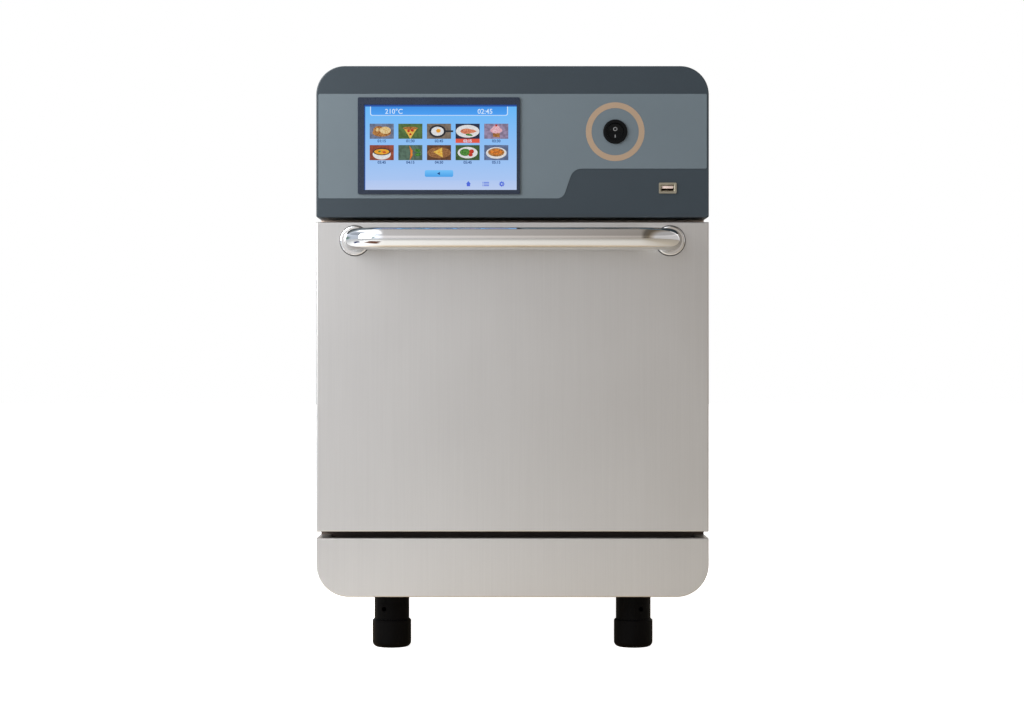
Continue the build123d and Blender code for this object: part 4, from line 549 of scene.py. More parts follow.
class OvenColours(PropertyGroup):
    """Colours of the finishes that show most."""
    door_pale: paint("Door steel", "Bright grain of the door", "#cac9c8")
    door_deep: paint("Door grain", "Dark grain of the door", "#c6c5c4")
    housing: paint("Control box", "Powder coat", "#28343d")
    housing_deep: paint("Control box shade", "Powder coat, deeper", "#243039")
    film: paint("Film", "Printed film", "#5a6770")
    film_deep: paint("Film shade", "Printed film, deeper", "#56636b")
    bezel: paint("Bezel", "Frame of the screen", "#1b2434")
    ring: paint("Ring", "Ring printed round the switch", "#9c8670")


class OvenSizes(PropertyGroup):
    """Sizes of the pieces that only the eye needs, and of the view."""
    handle_bend: length("Handle bend", "Radius of the handle's bends", 0.033)
    seal_and_shade_radius: length("Seal radius", "Of the O-ring under a handle collar", 0.0006)
    ring_outer: length("Ring radius", "Outer radius of the printed ring", 0.0299)
    ring_inner: length("Ring hole", "Inner radius of the printed ring", 0.0241)
    print_height: length("Print height", "How far ink stands up", 0.00008)
    rocker_angle: FloatProperty(
        name="Rocker half angle", description="Slope of each half of the rocker's face",
        default=radians(9.85), subtype="ANGLE")
    screw_recess: length("Screw recess", "Width of a screw's cross recess", 0.0009)
    foam_thickness: length("Filter foam", "Thickness of the filter's pad", 0.0018)
    tile_columns: IntProperty(
        name="Picture columns", description="Pictures in a row on the screen", default=5)
    camera_distance: length("Camera distance", "From the door's face to the camera", 2.4)
    camera_height: length("Camera height", "Above the floor", 0.3006)
    camera_lens: FloatProperty(
        name="Lens", description="Focal length in millimetres", default=82.85, unit="CAMERA")


# ---------------------------------------------------------------- stage


def steps(tree, axes, rows):
    """The product of levels, each of which changes over a span of an axis."""
    level = 1.0
    for axis, (start, end), (before, after) in rows:
        step = blend(tree, axes[axis], before, after, start, end)
        level = add(tree, "Math", {0: step, 1: level}, operation="MULTIPLY")
    return level


def mask(tree, axes, spans, blur):
    """One inside the spans of some axes and nothing outside, blurred at its edges."""
    return steps(tree, axes, [
        (axis, (edge - blur, edge + blur), change) for axis, span in spans
        for edge, change in zip(span, ((0.0, 1.0), (1.0, 0.0)))])


class OVEN_OT_stage(Operator):
    """Sets the camera, the pale floor, the world and soft studio lamps"""
    bl_idname = "oven.stage"
    bl_label = "Stage"

    # The photograph was taken from this far beside the middle.
    camera_x = -0.56 * MM
    # Lamps: name, place, size, power, colour and whether mirrors show them.
    lamps = (
        ("key_softbox", (-1.0, -0.85, 0.85), 0.8, 19, "#fffcf7", True),
        ("top_softbox", (-0.3, 0.1, 1.9), 1.4, 10, "#ffffff", False),
        ("rear_softbox", (1.3, 2.2, 1.3), 2.4, 10, "#ffffff", True),
    )
    # The counter, which only steel and lamplight see. Span of the distance from the oven's middle
    # over which it changes, in metres, and what it changes between: light and colour near and far.
    near_span, far_span = (0.26, 0.5), (0.5, 1.2)
    near_glow, far_glow = (0.16, 0.34), (1.0, 0.56)
    near_colour, left_colour, right_colour = "#c9b18d", "#dee0e1", "#b1a899"
    # Dark things on it: x and y of the place, and colour.
    counter = (
        ((-0.74, -0.28), (-0.96, -0.54), "#5a3c30"),
        ((-1.35, -0.86), (-0.50, -0.12), "#30385e"),
    )
    # The room, which only steel and lamplight see. Levels by direction: axis, span over which the
    # level changes, and the levels before and after it. It is brightest on the left, short of its
    # far corner, with a pale wall at the far right and a dimmer ceiling.
    left_light = (("X", (-0.36, 0.2), (1.97, 0.22)), ("X", (-0.75, -0.4), (0.42, 1.0)))
    right_light = (("X", (0.38, 0.66), (0.0, 0.6)),)
    height_light = (("Z", (0.30, 0.36), (1.0, 1.25)), ("Z", (0.38, 0.44), (1.0, 0.56)))
    # Its colour goes from cool to warm towards the right, but is neutral again at the far right.
    warmth = (("X", (-0.4, 0.4), (0.0, 1.0)), ("X", (0.38, 0.66), (1.0, 0.4)))
    cool_colour, warm_colour = "#e7f0ff", "#f8e2c4"
    # Single patches in it, a window and a green one: x and z of the direction, level and colour.
    room = (
        ((-0.62, -0.18), (0.70, 0.97), 2.4, "#ffffff"),
        ((-0.90, -0.50), (0.04, 0.20), 0.45, "#a4cdbb"),
    )

    def execute(self, context):
        sizes = context.scene.oven_sizes
        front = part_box("door_skin")[0].y
        clear_selection()
        bpy.ops.object.camera_add(
            location=(self.camera_x, front - sizes.camera_distance, sizes.camera_height),
            rotation=(pi / 2, 0, 0))
        camera = context.object
        camera.name = "camera"
        camera.data.sensor_width = 36
        camera.data.lens = sizes.camera_lens
        camera.data.clip_end = 60
        context.scene.camera = camera
        self.make_floor()

        aim = Vector((0, 0, 0.3))
        for name, point, size, power, colour, mirrored in self.lamps:
            bpy.ops.object.light_add(type="AREA", location=point)
            lamp = context.object
            lamp.name = name
            lamp.rotation_euler = (aim - Vector(point)).to_track_quat("-Z", "Y").to_euler()
            lamp.data.size = size
            lamp.data.energy = power
            lamp.data.color = linear(colour)[:3]
            lamp.visible_glossy = mirrored
        self.make_world(context)
        context.scene.view_settings.view_transform = "Standard"
        return {"FINISHED"}

    def make_floor(self):
        """White paper to the camera, and a counter for the steel to mirror."""
        bpy.ops.mesh.primitive_plane_add(size=24, location=(0, 0, 0))
        floor = current("floor")
        tree = begin("pale_floor")
        point = add(tree, "TexCoord").outputs["Object"]
        reach = add(tree, "VectorMath", {0: point}, operation="LENGTH")
        axes = add(tree, "SeparateXYZ", {0: point}).outputs
        near = blend(tree, reach, 0.0, 1.0, *self.near_span)
        far = blend(tree, reach, *self.far_glow, *self.far_span)
        ground = blend(tree, axes["X"], self.left_colour, self.right_colour, -0.7, 0.7)
        ground = blend(tree, near, self.near_colour, ground, 0, 1)
        glow = add(tree, "Math", {0: blend(tree, near, *self.near_glow, 0, 1), 1: far},
                   operation="MULTIPLY")
        for across, out, paint in self.counter:
            inside = mask(tree, axes, (("X", across), ("Y", out)), 0.04)
            ground = blend(tree, inside, ground, paint, 0, 1)
            glow = blend(tree, inside, glow, 0.0, 0, 1)
        seen = add(tree, "LightPath").outputs["Is Camera Ray"]
        paper = blend(tree, pattern(tree, 400, {"Detail": 1.0}), "#efefee", "#f4f4f3", 0, 1)
        surface(tree, blend(tree, seen, ground, paper, 0, 1), 0.9, specular_ior_level=0.1,
                emission_color=blend(tree, seen, ground, "#ffffff", 0, 1),
                emission_strength=blend(tree, seen, glow, 0.93, 0, 1))
        floor.data.materials.append(bpy.data.materials["pale_floor"])

    def make_world(self, context):
        """White behind the oven to the camera, and a room for the steel to mirror."""
        world = bpy.data.worlds.new("room")
        context.scene.world = world
        world.use_nodes = True
        tree = world.node_tree
        tree.nodes.clear()
        direction = add(tree, "TexCoord").outputs["Generated"]
        axes = add(tree, "SeparateXYZ", {0: direction}).outputs
        left, right = (steps(tree, axes, rows) for rows in (self.left_light, self.right_light))
        sideways = add(tree, "Math", {0: left, 1: right}, operation="ADD")
        level = add(tree, "Math", {0: sideways, 1: steps(tree, axes, self.height_light)},
                    operation="MULTIPLY")
        colour = blend(tree, steps(tree, axes, self.warmth), self.cool_colour, self.warm_colour,
                       0, 1)
        for across, up, bright, paint in self.room:
            inside = mask(tree, axes, (("X", across), ("Z", up)), 0.05)
            level = blend(tree, inside, level, bright, 0, 1)
            colour = blend(tree, inside, colour, paint, 0, 1)
        room = add(tree, "Background", {"Color": colour, "Strength": level})
        white = add(tree, "Background", {"Color": "#ffffff", "Strength": 1.0})
        seen = add(tree, "LightPath").outputs["Is Camera Ray"]
        mixed = add(tree, "MixShader", {0: seen, 1: room, 2: white})
        add(tree, "OutputWorld", {"Surface": mixed})


# ---------------------------------------------------------------- pieces


class OVEN_OT_node_finishes(Operator):
    """Gives every CAD piece its material"""
    bl_idname = "oven.node_finishes"
    bl_label = "Finishes of the CAD pieces"

    def execute(self, context):
        for packed in list(bpy.data.materials):
            if packed.name != "pale_floor":
                bpy.data.materials.remove(packed)
        make_finishes(context.scene.oven_colours)
        for finish, nodes in FINISH_OF.items():
            for node in nodes:
                slots = NODES[node].data.materials
                slots.clear()
                slots.append(bpy.data.materials[finish])
        bare = [name for name, piece in NODES.items()
                if not piece.data.materials or piece.data.materials[0] is None]
        if bare:
            raise RuntimeError(f"these nodes have no finish: {bare}")
        return {"FINISHED"}


class OVEN_OT_handle(Operator):
    """Bends the door's bar handle from one round tube"""
    bl_idname = "oven.handle"
    bl_label = "Door handle"

    def execute(self, context):
        bend = context.scene.oven_sizes.handle_bend
        low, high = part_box("handle_tube")
        radius = (high.z - low.z) / 2
        start = Vector((high.x - radius, high.y, (low.z + high.z) / 2))
        straight = high.y - low.y - radius - bend
        span = 2 * (start.x - bend)
        clear_selection()
        bpy.ops.mesh.primitive_circle_add(
            vertices=48, radius=radius, location=start, rotation=(pi / 2, 0, 0))
        handle = current("handle_bar")
        with editing():
            for run, middle in (((0, -straight, 0), start.x - bend),
                                ((-span, 0, 0), bend - start.x)):
                bpy.ops.mesh.extrude_region_move(TRANSFORM_OT_translate={"value": run})
                bpy.ops.mesh.spin(steps=20, angle=pi / 2, axis=(0, 0, 1),
                                  center=(middle, start.y - straight, start.z))
            bpy.ops.mesh.extrude_region_move(TRANSFORM_OT_translate={"value": (0, straight, 0)})
            bpy.ops.mesh.select_all(action="SELECT")
            bpy.ops.mesh.fill_holes(sides=0)
        outward(handle)
        smooth(handle, 40)
        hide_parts("handle_tube")
        place(handle, "door", "polished_tube")
        return {"FINISHED"}


class OVEN_OT_collar_seals_and_shade(Operator):
    """Lays a thin dark O-ring round the foot of each handle collar, which also paints the line of
    shade there
    """
    bl_idname = "oven.collar_seals"
    bl_label = "Collar seals"

    def execute(self, context):
        thick = context.scene.oven_sizes.seal_and_shade_radius
        low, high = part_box("handle_flanges")
        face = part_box("door_skin")[0].y
        radius = (high.z - low.z) / 2
        # The dark ring is partly painted shade: besides a seal it stands in for the dark line of
        # shade round each collar's foot.
        made = []
        for x in (low.x + radius, high.x - radius):
            # A little more than half of it shows outside the collar, and half above the door.
            clear_selection()
            bpy.ops.mesh.primitive_torus_add(
                major_radius=radius + 0.4 * thick, minor_radius=thick,
                major_segments=72, minor_segments=12,
                location=(x, face - 0.5 * thick, (low.z + high.z) / 2), rotation=(pi / 2, 0, 0))
            made.append(current("seal"))
        seals = join(made, "collar_seals")
        smooth(seals)
        place(seals, "door", "grey_silicone")
        return {"FINISHED"}


def ring(name, outer, inner, point, turn, height):
    """A flat printed ring, standing up from its face by height."""
    clear_selection()
    bpy.ops.mesh.primitive_circle_add(
        vertices=64, radius=outer, fill_type="NGON", location=point, rotation=(turn, 0, 0))
    made = current(name)
    with editing():
        bpy.ops.mesh.inset(thickness=outer - inner, depth=0)
        pick(lambda face: len(face.verts) > 4)
        bpy.ops.mesh.delete(type="FACE")
    modify(made, "SOLIDIFY", thickness=height, offset=1)
    return made


class OVEN_OT_switch_prints(Operator):
    """Prints the ring round the switch, and its two marks on the rocker"""
    bl_idname = "oven.switch_prints"
    bl_label = "Switch prints"

    # The rocker rests pressed at its foot, turned by this much. The valley between its two halves
    # lies this deep in front of the pivot.
    tilt = radians(10)
    valley = 0.707 * MM
    # The ring mark: outer and inner radius, and its way up the upper half.
    off_outer, off_inner, off_rise = 2.05 * MM, 1.4 * MM, 2.9 * MM
    # The bar mark: width, height, corner radius, and how far below the pivot it lies.
    on_width, on_height, on_corner, on_drop = 0.8 * MM, 3.0 * MM, 0.25 * MM, 4.5 * MM

    def execute(self, context):
        sizes = context.scene.oven_sizes
        pivot = Vector(JOINTS["rocker_tilt"]["pos_m"])
        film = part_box("graphic_overlay")[0].y
        band = ring("switch_ring", sizes.ring_outer, sizes.ring_inner, (pivot.x, film, pivot.z),
                    pi / 2, sizes.print_height)
        place(band, "cabinet", "ring_ink")

        # The lower half stands upright, and the upper half leans out.
        slope = sizes.rocker_angle + self.tilt
        face = pivot.y - self.valley * cos(self.tilt)
        upper = (pivot.x, face - self.off_rise * sin(slope),
                 pivot.z - self.valley * sin(self.tilt) + self.off_rise * cos(slope))
        off = ring("rocker_off_mark", self.off_outer, self.off_inner, upper, pi / 2 + slope,
                   sizes.print_height)
        clear_selection()
        bpy.ops.mesh.primitive_plane_add(
            size=1, location=(pivot.x, face, pivot.z - self.on_drop), rotation=(pi / 2, 0, 0))
        on = current("rocker_on_mark", (self.on_width, self.on_height, 1))
        with editing():
            bpy.ops.mesh.bevel(offset=self.on_corner, segments=3, affect="VERTICES")
        modify(on, "SOLIDIFY", thickness=sizes.print_height, offset=1)
        for mark in (off, on):
            place(mark, "rocker", "grey_ink")
        return {"FINISHED"}


class OVEN_OT_screws(Operator):
    """Turns one pan-head screw with a cross recess, and sets it in every hole of the casing"""
    bl_idname = "oven.screws"
    bl_label = "Casing screws"

    head_radius, head_height = 4.0 * MM, 2.2 * MM
    shank_radius, shank_length = 1.9 * MM, 8.0 * MM

    def execute(self, context):
        radius, height = self.head_radius, self.head_height
        clear_selection()
        bpy.ops.mesh.primitive_cylinder_add(
            vertices=32, radius=radius, depth=height, location=(0, 0, height / 2))
        screw = current("screw_pattern")
        # The head is domed, and the shank grows from its foot.
        with editing():
            pick(lambda face: face.normal.z > 0.9)
            bpy.ops.mesh.bevel(offset=height * 0.45, segments=5, affect="EDGES")
            pick(lambda face: face.normal.z < -0.9)
            bpy.ops.mesh.inset(thickness=radius - self.shank_radius, depth=0)
            bpy.ops.mesh.extrude_region_move(
                TRANSFORM_OT_translate={"value": (0, 0, -self.shank_length)})
        # Two crossed bars that taper towards their foot cut the recess.
        recess = context.scene.oven_sizes.screw_recess
        for turn in (0, pi / 2):
            clear_selection()
            bpy.ops.mesh.primitive_cube_add(
                size=1, location=(0, 0, height), rotation=(0, 0, turn))
            cutter = current("recess_cutter", (radius * 1.15, recess, height * 1.1))
            with editing():
                pick(lambda face: face.normal.z < -0.9)
                bpy.ops.transform.resize(value=(0.45, 0.45, 1), center_override=(0, 0, 0))
            modify(screw, "BOOLEAN", object=cutter, operation="DIFFERENCE", solver="EXACT")
            bpy.data.objects.remove(cutter)
        made = []
        for point, out in self.heads():
            # Each is driven home at a turn of its own.
            spun = Matrix.Rotation(0.7 * len(made), 4, "Z")
            made.append(copied(screw, out.to_track_quat("Z", "Y").to_matrix().to_4x4() @ spun,
                               point))
        bpy.data.objects.remove(screw)
        screws = join(made, "cross_head_screws")
        outward(screws)
        smooth(screws, 40)
        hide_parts("casing_screws")
        place(screws, "cabinet", "zinc_plated_steel")
        return {"FINISHED"}

    def heads(self):
        """Where each CAD screw's head sits and which way it faces, from its node's points."""
        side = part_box("outer_cover")[1].x
        points = [vertex.co.copy() for vertex in NODES["casing_screws"].data.vertices]
        wall = max(p.y for p in points) - self.head_height
        # Points that stand out from the casing by more than this belong to a head, and those of
        # one head lie this close to each other.
        proud, close = 1 * MM, 9 * MM
        found = []
        for p in points:
            hand = 1 if p.x > 0 else -1
            if p.y > wall + proud:
                spot, out = Vector((p.x, wall, p.z)), Vector((0, 1, 0))
            elif abs(p.x) > side + proud:
                spot, out = Vector((hand * side, p.y, p.z)), Vector((hand, 0, 0))
            else:
                continue
            for facing, spots in found:
                if facing == out and (spots[0] - spot).length < close:
                    spots.append(spot)
                    break
            else:
                found.append((out, [spot]))
        heads = []
        for out, spots in found:
            low, high = (Vector([end(s[i] for s in spots) for i in range(3)])
                         for end in (min, max))
            heads.append(((low + high) / 2, out))
        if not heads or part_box("rear_panel")[0].y > wall:
            raise RuntimeError("no screw heads were found")
        return heads


class OVEN_OT_filter_foam(Operator):
    """Lays the filter's foam pad behind its wire grid"""
    bl_idname = "oven.filter_foam"
    bl_label = "Filter foam"

    # The rim that frames the pad, and how far behind the cassette's middle the grid ends.
    rim, behind, edge = 8.1 * MM, 0.8 * MM, 0.4 * MM

    def execute(self, context):
        low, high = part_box("filter_cassette")
        half = (high.x - low.x) / 2
        width = 2 * (half - self.rim)
        thick = context.scene.oven_sizes.foam_thickness
        y = (low.y + high.y) / 2 - self.behind - thick / 2
        clear_selection()
        bpy.ops.mesh.primitive_cube_add(
            size=1, location=((low.x + high.x) / 2, y, low.z + half))
        pad = current("filter_foam", (width, thick, width))
        modify(pad, "BEVEL", width=self.edge, segments=2)
        place(pad, "filter", "filter_foam")
        return {"FINISHED"}


class OVEN_OT_socket_tongue(Operator):
    """Sets the pale contact tongue in the socket"""
    bl_idname = "oven.socket_tongue"
    bl_label = "Socket tongue"

    # The tongue's size, how far its tip lies inside the socket, and its rise above the middle.
    size = Vector((11.4, 8.3, 2.6)) * MM
    inset, rise, edge = 1.2 * MM, 0.825 * MM, 0.3 * MM

    def execute(self, context):
        centre = middle_of("usb_port")
        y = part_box("usb_port")[0].y + self.inset + self.size.y / 2
        clear_selection()
        bpy.ops.mesh.primitive_cube_add(size=1, location=(centre.x, y, centre.z + self.rise))
        tongue = current("socket_tongue", self.size)
        with editing():
            pick(lambda face: face.normal.y < -0.9)
            bpy.ops.mesh.bevel(offset=self.edge, segments=3, affect="EDGES")
        smooth(tongue)
        place(tongue, "cabinet", "socket_tongue_pbt")
        return {"FINISHED"}


# ---------------------------------------------------------------- screen picture

# Each dish is drawn of flat patches: x and z from the tile's middle and half sizes as shares of
# the tile's height, number of sides (0 for a rectangle), turn in degrees, and its finish.
DISHES = (
    # loaf of bread
    ("#7f8aa6", (
        (0, -0.1, 0.62, 0.26, 24, 0, "crust"), (-0.2, 0.08, 0.36, 0.26, 24, 0, "crust"),
        (0.24, 0.06, 0.36, 0.24, 24, 0, "crumb"), (-0.3, 0.1, 0.1, 0.12, 12, 20, "crumb"),
        (-0.05, 0.1, 0.1, 0.12, 12, 20, "crumb"))),
    # slice of pizza
    ("#5f7f45", (
        (0, -0.05, 0.5, 0.46, 3, 180, "cheese"), (0, 0.2, 0.5, 0.1, 16, 0, "crust"),
        (-0.12, 0.02, 0.1, 0.09, 12, 0, "tomato"), (0.13, 0.06, 0.1, 0.09, 12, 0, "tomato"),
        (0.0, -0.2, 0.08, 0.07, 12, 0, "tomato"))),
    # fried egg in a pan
    ("#8d7d6e", (
        (-0.1, 0, 0.56, 0.42, 28, 0, "iron"), (0.66, 0.0, 0.28, 0.06, 0, 0, "iron"),
        (-0.1, 0, 0.42, 0.3, 20, 0, "white"), (-0.04, 0.03, 0.15, 0.13, 16, 0, "yolk"))),
    # fish on a plate
    ("#2c3350", (
        (0, 0, 0.78, 0.42, 32, 0, "white"), (-0.06, 0, 0.42, 0.18, 24, 0, "salmon"),
        (0.42, 0, 0.16, 0.2, 3, 90, "salmon"), (-0.34, 0.03, 0.03, 0.03, 8, 0, "iron"),
        (0.1, -0.24, 0.24, 0.07, 12, 8, "leaf"))),
    # cake with icing
    ("#a594b4", (
        (0, -0.16, 0.34, 0.3, 4, 45, "crust"), (0, 0.06, 0.4, 0.2, 20, 0, "icing"),
        (0, 0.24, 0.24, 0.14, 20, 0, "icing"), (0, 0.38, 0.07, 0.07, 12, 0, "tomato"))),
    # bowl of soup
    ("#a8543c", (
        (0, -0.1, 0.6, 0.36, 28, 0, "white"), (0, 0.06, 0.58, 0.24, 28, 0, "iron"),
        (0, 0.06, 0.5, 0.18, 28, 0, "yolk"), (-0.14, 0.08, 0.1, 0.05, 10, 0, "leaf"),
        (0.16, 0.03, 0.12, 0.05, 10, 0, "tomato"))),
    # carrots
    ("#5f7a6a", (
        (0.05, 0.1, 0.46, 0.11, 3, 80, "carrot"), (0.05, -0.14, 0.46, 0.11, 3, 95, "carrot"),
        (0.48, 0.14, 0.2, 0.12, 10, 10, "leaf"), (0.5, -0.12, 0.2, 0.12, 10, -10, "leaf"))),
    # wedge of cheese
    ("#704a30", (
        (0, 0, 0.78, 0.36, 30, 0, "wood"), (0.02, 0.02, 0.42, 0.36, 3, 30, "cheese"),
        (0.0, 0.04, 0.06, 0.05, 10, 0, "yolk"), (0.14, -0.08, 0.05, 0.05, 10, 0, "yolk"))),
    # peas and tomatoes
    ("#46683a", (
        (0, 0, 0.66, 0.38, 30, 0, "white"), (-0.16, 0.02, 0.36, 0.24, 20, 0, "leaf"),
        (0.26, 0.08, 0.16, 0.14, 16, 0, "tomato"), (0.2, -0.14, 0.14, 0.12, 16, 0, "tomato"))),
    # pie
    ("#6f83ad", (
        (0, -0.02, 0.68, 0.38, 30, 0, "white"), (0, 0.02, 0.54, 0.28, 28, 0, "crust"),
        (0, 0.04, 0.4, 0.18, 24, 0, "carrot"), (0, 0.04, 0.4, 0.02, 0, 25, "crust"),
        (0, 0.04, 0.4, 0.02, 0, -25, "crust"))),
)
FOODS = {
    "crust": ("#c98f4e", "#8a5424"), "crumb": ("#f0d9a6", "#dcb672"),
    "cheese": ("#f2cf63", "#e0a93c"), "tomato": ("#d5402c", "#a82418"),
    "iron": ("#33343c", "#1e1f26"), "white": ("#f4f3f0", "#dcdde2"),
    "yolk": ("#f7b733", "#e8952a"), "salmon": ("#e89a74", "#c9694a"),
    "leaf": ("#5c9a3e", "#2f6a2c"), "icing": ("#f3cfd6", "#e4a4b4"),
    "carrot": ("#ef8f34", "#cf6a1c"), "wood": ("#a9774a", "#84552f"),
}


# Lit grounds: colours at the lower and upper of two heights, these heights in millimetres above
# the screen's middle, and the strength of the light.
LIGHTS = {
    # edge is painted shadow of the bezel's rim, a dark blue strip along the picture's top and left.
    "edge": ("#2c55a8", "#2c55a8", -43, 43, 0.9),
    "sky": ("#b4cdf8", "#66bcff", -43, 43, 0.92),
    "foot": ("#c0d2f6", "#b4cdf8", -43, -33, 0.92),
    "bar": ("#4fa9ff", "#3a8fe6", 30, 43, 0.92),
    "line": ("#cfe6ff", "#cfe6ff", -43, 43, 0.95),
    "ink": ("#25508f", "#1d4680", -43, 43, 0.9),
    "button": ("#2f97e8", "#6ec2ff", -32, -24, 0.92),
    "accent": ("#e2533f", "#e8604a", -43, 43, 0.9),
    "icon": ("#5a63d8", "#3f74e6", -43, -30, 0.92),
}
# Grounds and bars: x, z, width, height, finish, layer and corner radius, in millimetres.
GROUNDS = (
    (0, 0, 155.1, 86.9, "sky", 0, 0),
    (0, -38.4, 155.1, 10.1, "foot", 1, 0),
    (-1.6, 38.0, 140.6, 10.8, "line", 1, 2.2),
    (-1.6, 38.3, 138.8, 10.1, "bar", 2, 1.8),
    # The two edge strips, along the top and the left, are painted shadow of the bezel's rim.
    (0, 42.65, 155.1, 1.6, "edge", 3, 0),
    (-77.15, 0, 0.8, 86.9, "edge", 3, 0),
)
LAYER = 0.08 * MM  # from one layer of the picture to the next
MENU_X = -1.6  # the menu's middle, in millimetres from the screen's


class OVEN_OT_screen(Operator):
    """Lights the screen with a plain menu of made-up dishes and times"""
    bl_idname = "oven.screen"
    bl_label = "Screen picture"

    # The picture's middle, beside the bezel's.
    shift = Vector((1.6, 0, -1.5)) * MM
    # A dish's tile: width, height, and the steps to the next column and row.
    wide, high, pitch, row = 24.6, 15.4, 29.2, 21.8
    top_row, chosen = 16.7, 3
    # Its time: drop of the figures below the tile and their size, and the plate behind them.
    time_drop, time_size, plate_drop, plate_high = 3.5, 3.9, 2.1, 4.2

    def execute(self, context):
        self.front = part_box("touch_glass")[0].y
        self.middle = middle_of("display_bezel") + self.shift
        self.pieces = []
        for name, (low_colour, high_colour, low, high, glow) in LIGHTS.items():
            lit_picture("screen_" + name, low_colour, high_colour,
                        self.middle.z + low * MM, self.middle.z + high * MM, glow)
        for name, (first, second) in FOODS.items():
            lit_food("dish_" + name, first, second, 1.1, 0.85)

        for x, z, width, height, name, layer, radius in GROUNDS:
            self.patch(x, z, width, height, "screen_" + name, layer, radius)
        for text, x in (("210°C", -47.6), ("02:45", 45.4)):
            self.number(text, x, 34.6, 7.0, "screen_line", 3)
        self.menu(context.scene.oven_sizes.tile_columns)
        self.patch(MENU_X, -26.4, 29, 6.8, "screen_button", 1, 1.6)
        self.shape(MENU_X, -26.4, 2.0, 2.0, 3, -90, "screen_ink", 2)
        self.icons()
        screen = join(self.pieces, "screen_picture")
        clear_selection()
        modify(screen, "SOLIDIFY", thickness=0.07 * MM, offset=-1)
        place(screen, "cabinet")
        return {"FINISHED"}

    def spot(self, x, z, layer):
        """A place on a layer, from millimetres beside and above the screen's middle."""
        return (self.middle.x + x * MM, self.front - (layer + 1) * LAYER, self.middle.z + z * MM)

    def keep(self, name, finish, scale=(1, 1, 1)):
        """Names and scales the patch just added, and keeps it for the joined picture."""
        piece = current(name, scale)
        piece.data.materials.clear()
        piece.data.materials.append(bpy.data.materials[finish])
        self.pieces.append(piece)

    def patch(self, x, z, width, height, finish, layer, radius=0.0, turn=0):
        """A rectangle with rounded corners."""
        clear_selection()
        bpy.ops.mesh.primitive_plane_add(
            size=1, location=self.spot(x, z, layer), rotation=(pi / 2, radians(turn), 0))
        self.keep("patch", finish, (width * MM, height * MM, 1))
        if radius:
            with editing():
                bpy.ops.mesh.bevel(offset=radius * MM, segments=5, affect="VERTICES")

    def shape(self, x, z, half_x, half_z, sides, turn, finish, layer):
        """A regular shape or an oval, or a rectangle where sides is 0."""
        if not sides:
            self.patch(x, z, 2 * half_x, 2 * half_z, finish, layer, 0.0, turn)
            return
        clear_selection()
        bpy.ops.mesh.primitive_circle_add(
            vertices=sides, radius=1, fill_type="NGON", location=self.spot(x, z, layer),
            rotation=(pi / 2, radians(turn), 0))
        self.keep("shape", finish, (half_x * MM, half_z * MM, 1))

    def number(self, text, x, z, size, finish, layer):
        """Plain figures, centred on x, with their foot at z."""
        clear_selection()
        bpy.ops.object.text_add(location=self.spot(x, z, layer), rotation=(pi / 2, 0, 0))
        words = bpy.context.object
        words.data.body = text
        words.data.size = size * MM
        words.data.align_x = "CENTER"
        words.data.offset = 0.1 * MM
        words.data.resolution_u = 3
        bpy.ops.object.convert(target="MESH")
        self.keep("figures", finish)

    def menu(self, columns):
        """Rows of dishes, each with its time. One is chosen."""
        for index, (ground, parts) in enumerate(DISHES):
            column, line = index % columns, index // columns
            x = (column - (columns - 1) / 2) * self.pitch + MENU_X
            z = self.top_row - line * self.row
            foot = z - self.high / 2
            name = f"ground_{index + 1}"
            darker = "".join(f"{int(int(ground[i:i + 2], 16) * 0.82):02x}" for i in (1, 3, 5))
            lit_food(name, ground, "#" + darker, 3.0, 0.8)
            self.patch(x, z, self.wide, self.high, name, 1)
            for layer, (dx, dz, half_x, half_z, sides, turn, food) in enumerate(parts, 2):
                self.shape(x + dx * self.high, z + dz * self.high, half_x * self.high,
                           half_z * self.high, sides, turn, "dish_" + food, layer)
            chosen = index == self.chosen
            if chosen:
                self.patch(x, foot - self.plate_drop, self.wide, self.plate_high,
                           "screen_accent", 1)
            minutes = f"{1 + index // 2:02d}:{15 * (1 + index % 3):02d}"
            self.number(minutes, x, foot - self.time_drop, self.time_size,
                        "screen_line" if chosen else "screen_ink", 2)

    def icons(self):
        """A house, a list and a cog along the foot."""
        house, bullets, lines, cog, z = 28.4, 43.2, 46.8, 62.4, -37.1
        self.shape(house, z + 1.0, 2.9, 2.0, 3, 0, "screen_icon", 2)
        self.patch(house, z - 1.0, 3.4, 2.6, "screen_icon", 2)
        for rise in (1.7, 0, -1.7):
            self.patch(lines, z + rise, 5.2, 0.8, "screen_icon", 2)
            self.patch(bullets, z + rise, 0.9, 0.8, "screen_icon", 2)
        self.shape(cog, z, 2.0, 2.0, 20, 0, "screen_icon", 2)
        for turn in range(0, 180, 45):
            self.patch(cog, z, 5.8, 0.9, "screen_icon", 2, 0.0, turn)
        self.shape(cog, z, 0.9, 0.9, 16, 0, "screen_foot", 3)


# ---------------------------------------------------------------- panel and start

STEPS = (OVEN_OT_stage, OVEN_OT_node_finishes, OVEN_OT_handle, OVEN_OT_collar_seals_and_shade,
         OVEN_OT_switch_prints, OVEN_OT_screws, OVEN_OT_filter_foam, OVEN_OT_socket_tongue,
         OVEN_OT_screen)


class OVEN_PT_steps(Panel):
    """Lists the steps of the oven's finishing"""
    bl_idname = "OVEN_PT_steps"
    bl_label = "Speed oven"
    bl_space_type = "VIEW_3D"
    bl_region_type = "UI"
    bl_category = "Oven"

    def draw(self, context):
        for group in (context.scene.oven_sizes, context.scene.oven_colours):
            for name in type(group).__annotations__:
                self.layout.prop(group, name)
        for step in STEPS:
            self.layout.operator(step.bl_idname)


CLASSES = (OvenColours, OvenSizes, *STEPS, OVEN_PT_steps)


def register():
    for kind in CLASSES:
        bpy.utils.register_class(kind)
    bpy.types.Scene.oven_sizes = PointerProperty(type=OvenSizes)
    bpy.types.Scene.oven_colours = PointerProperty(type=OvenColours)


def unregister():
    del bpy.types.Scene.oven_colours
    del bpy.types.Scene.oven_sizes
    for kind in reversed(CLASSES):
        bpy.utils.unregister_class(kind)


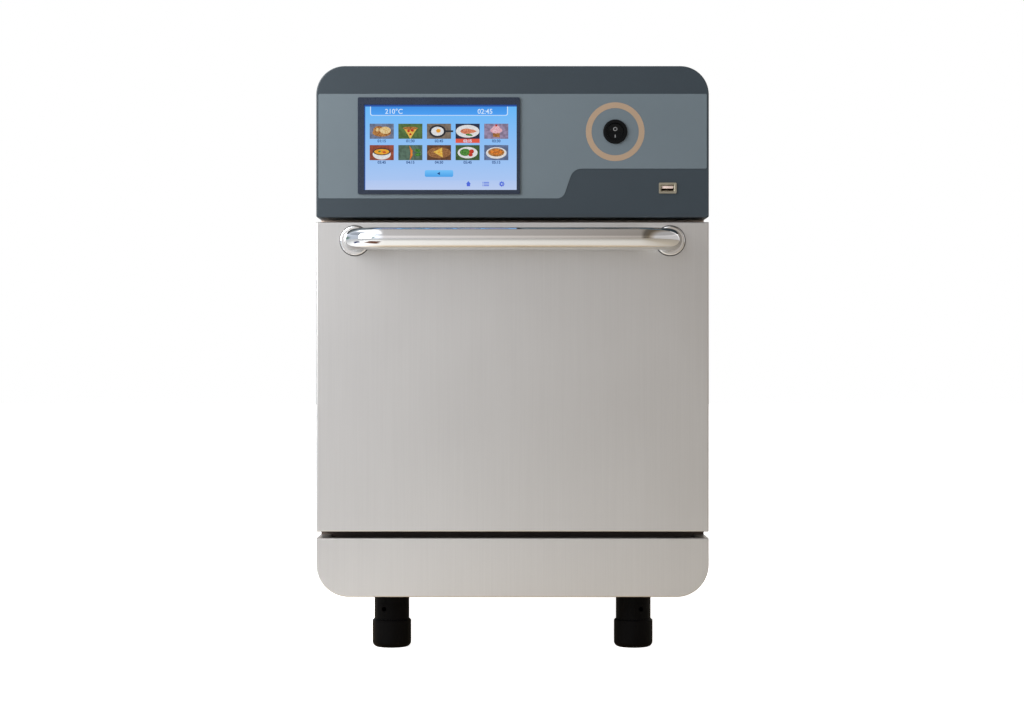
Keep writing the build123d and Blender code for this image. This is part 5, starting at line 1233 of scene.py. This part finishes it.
def main():
    """Runs every step in order."""
    register()
    for step in STEPS:
        group, name = step.bl_idname.split(".")
        if getattr(getattr(bpy.ops, group), name)() != {"FINISHED"}:
            raise RuntimeError(f"{step.bl_label} did not finish")


if __name__ == "__main__":
    main()
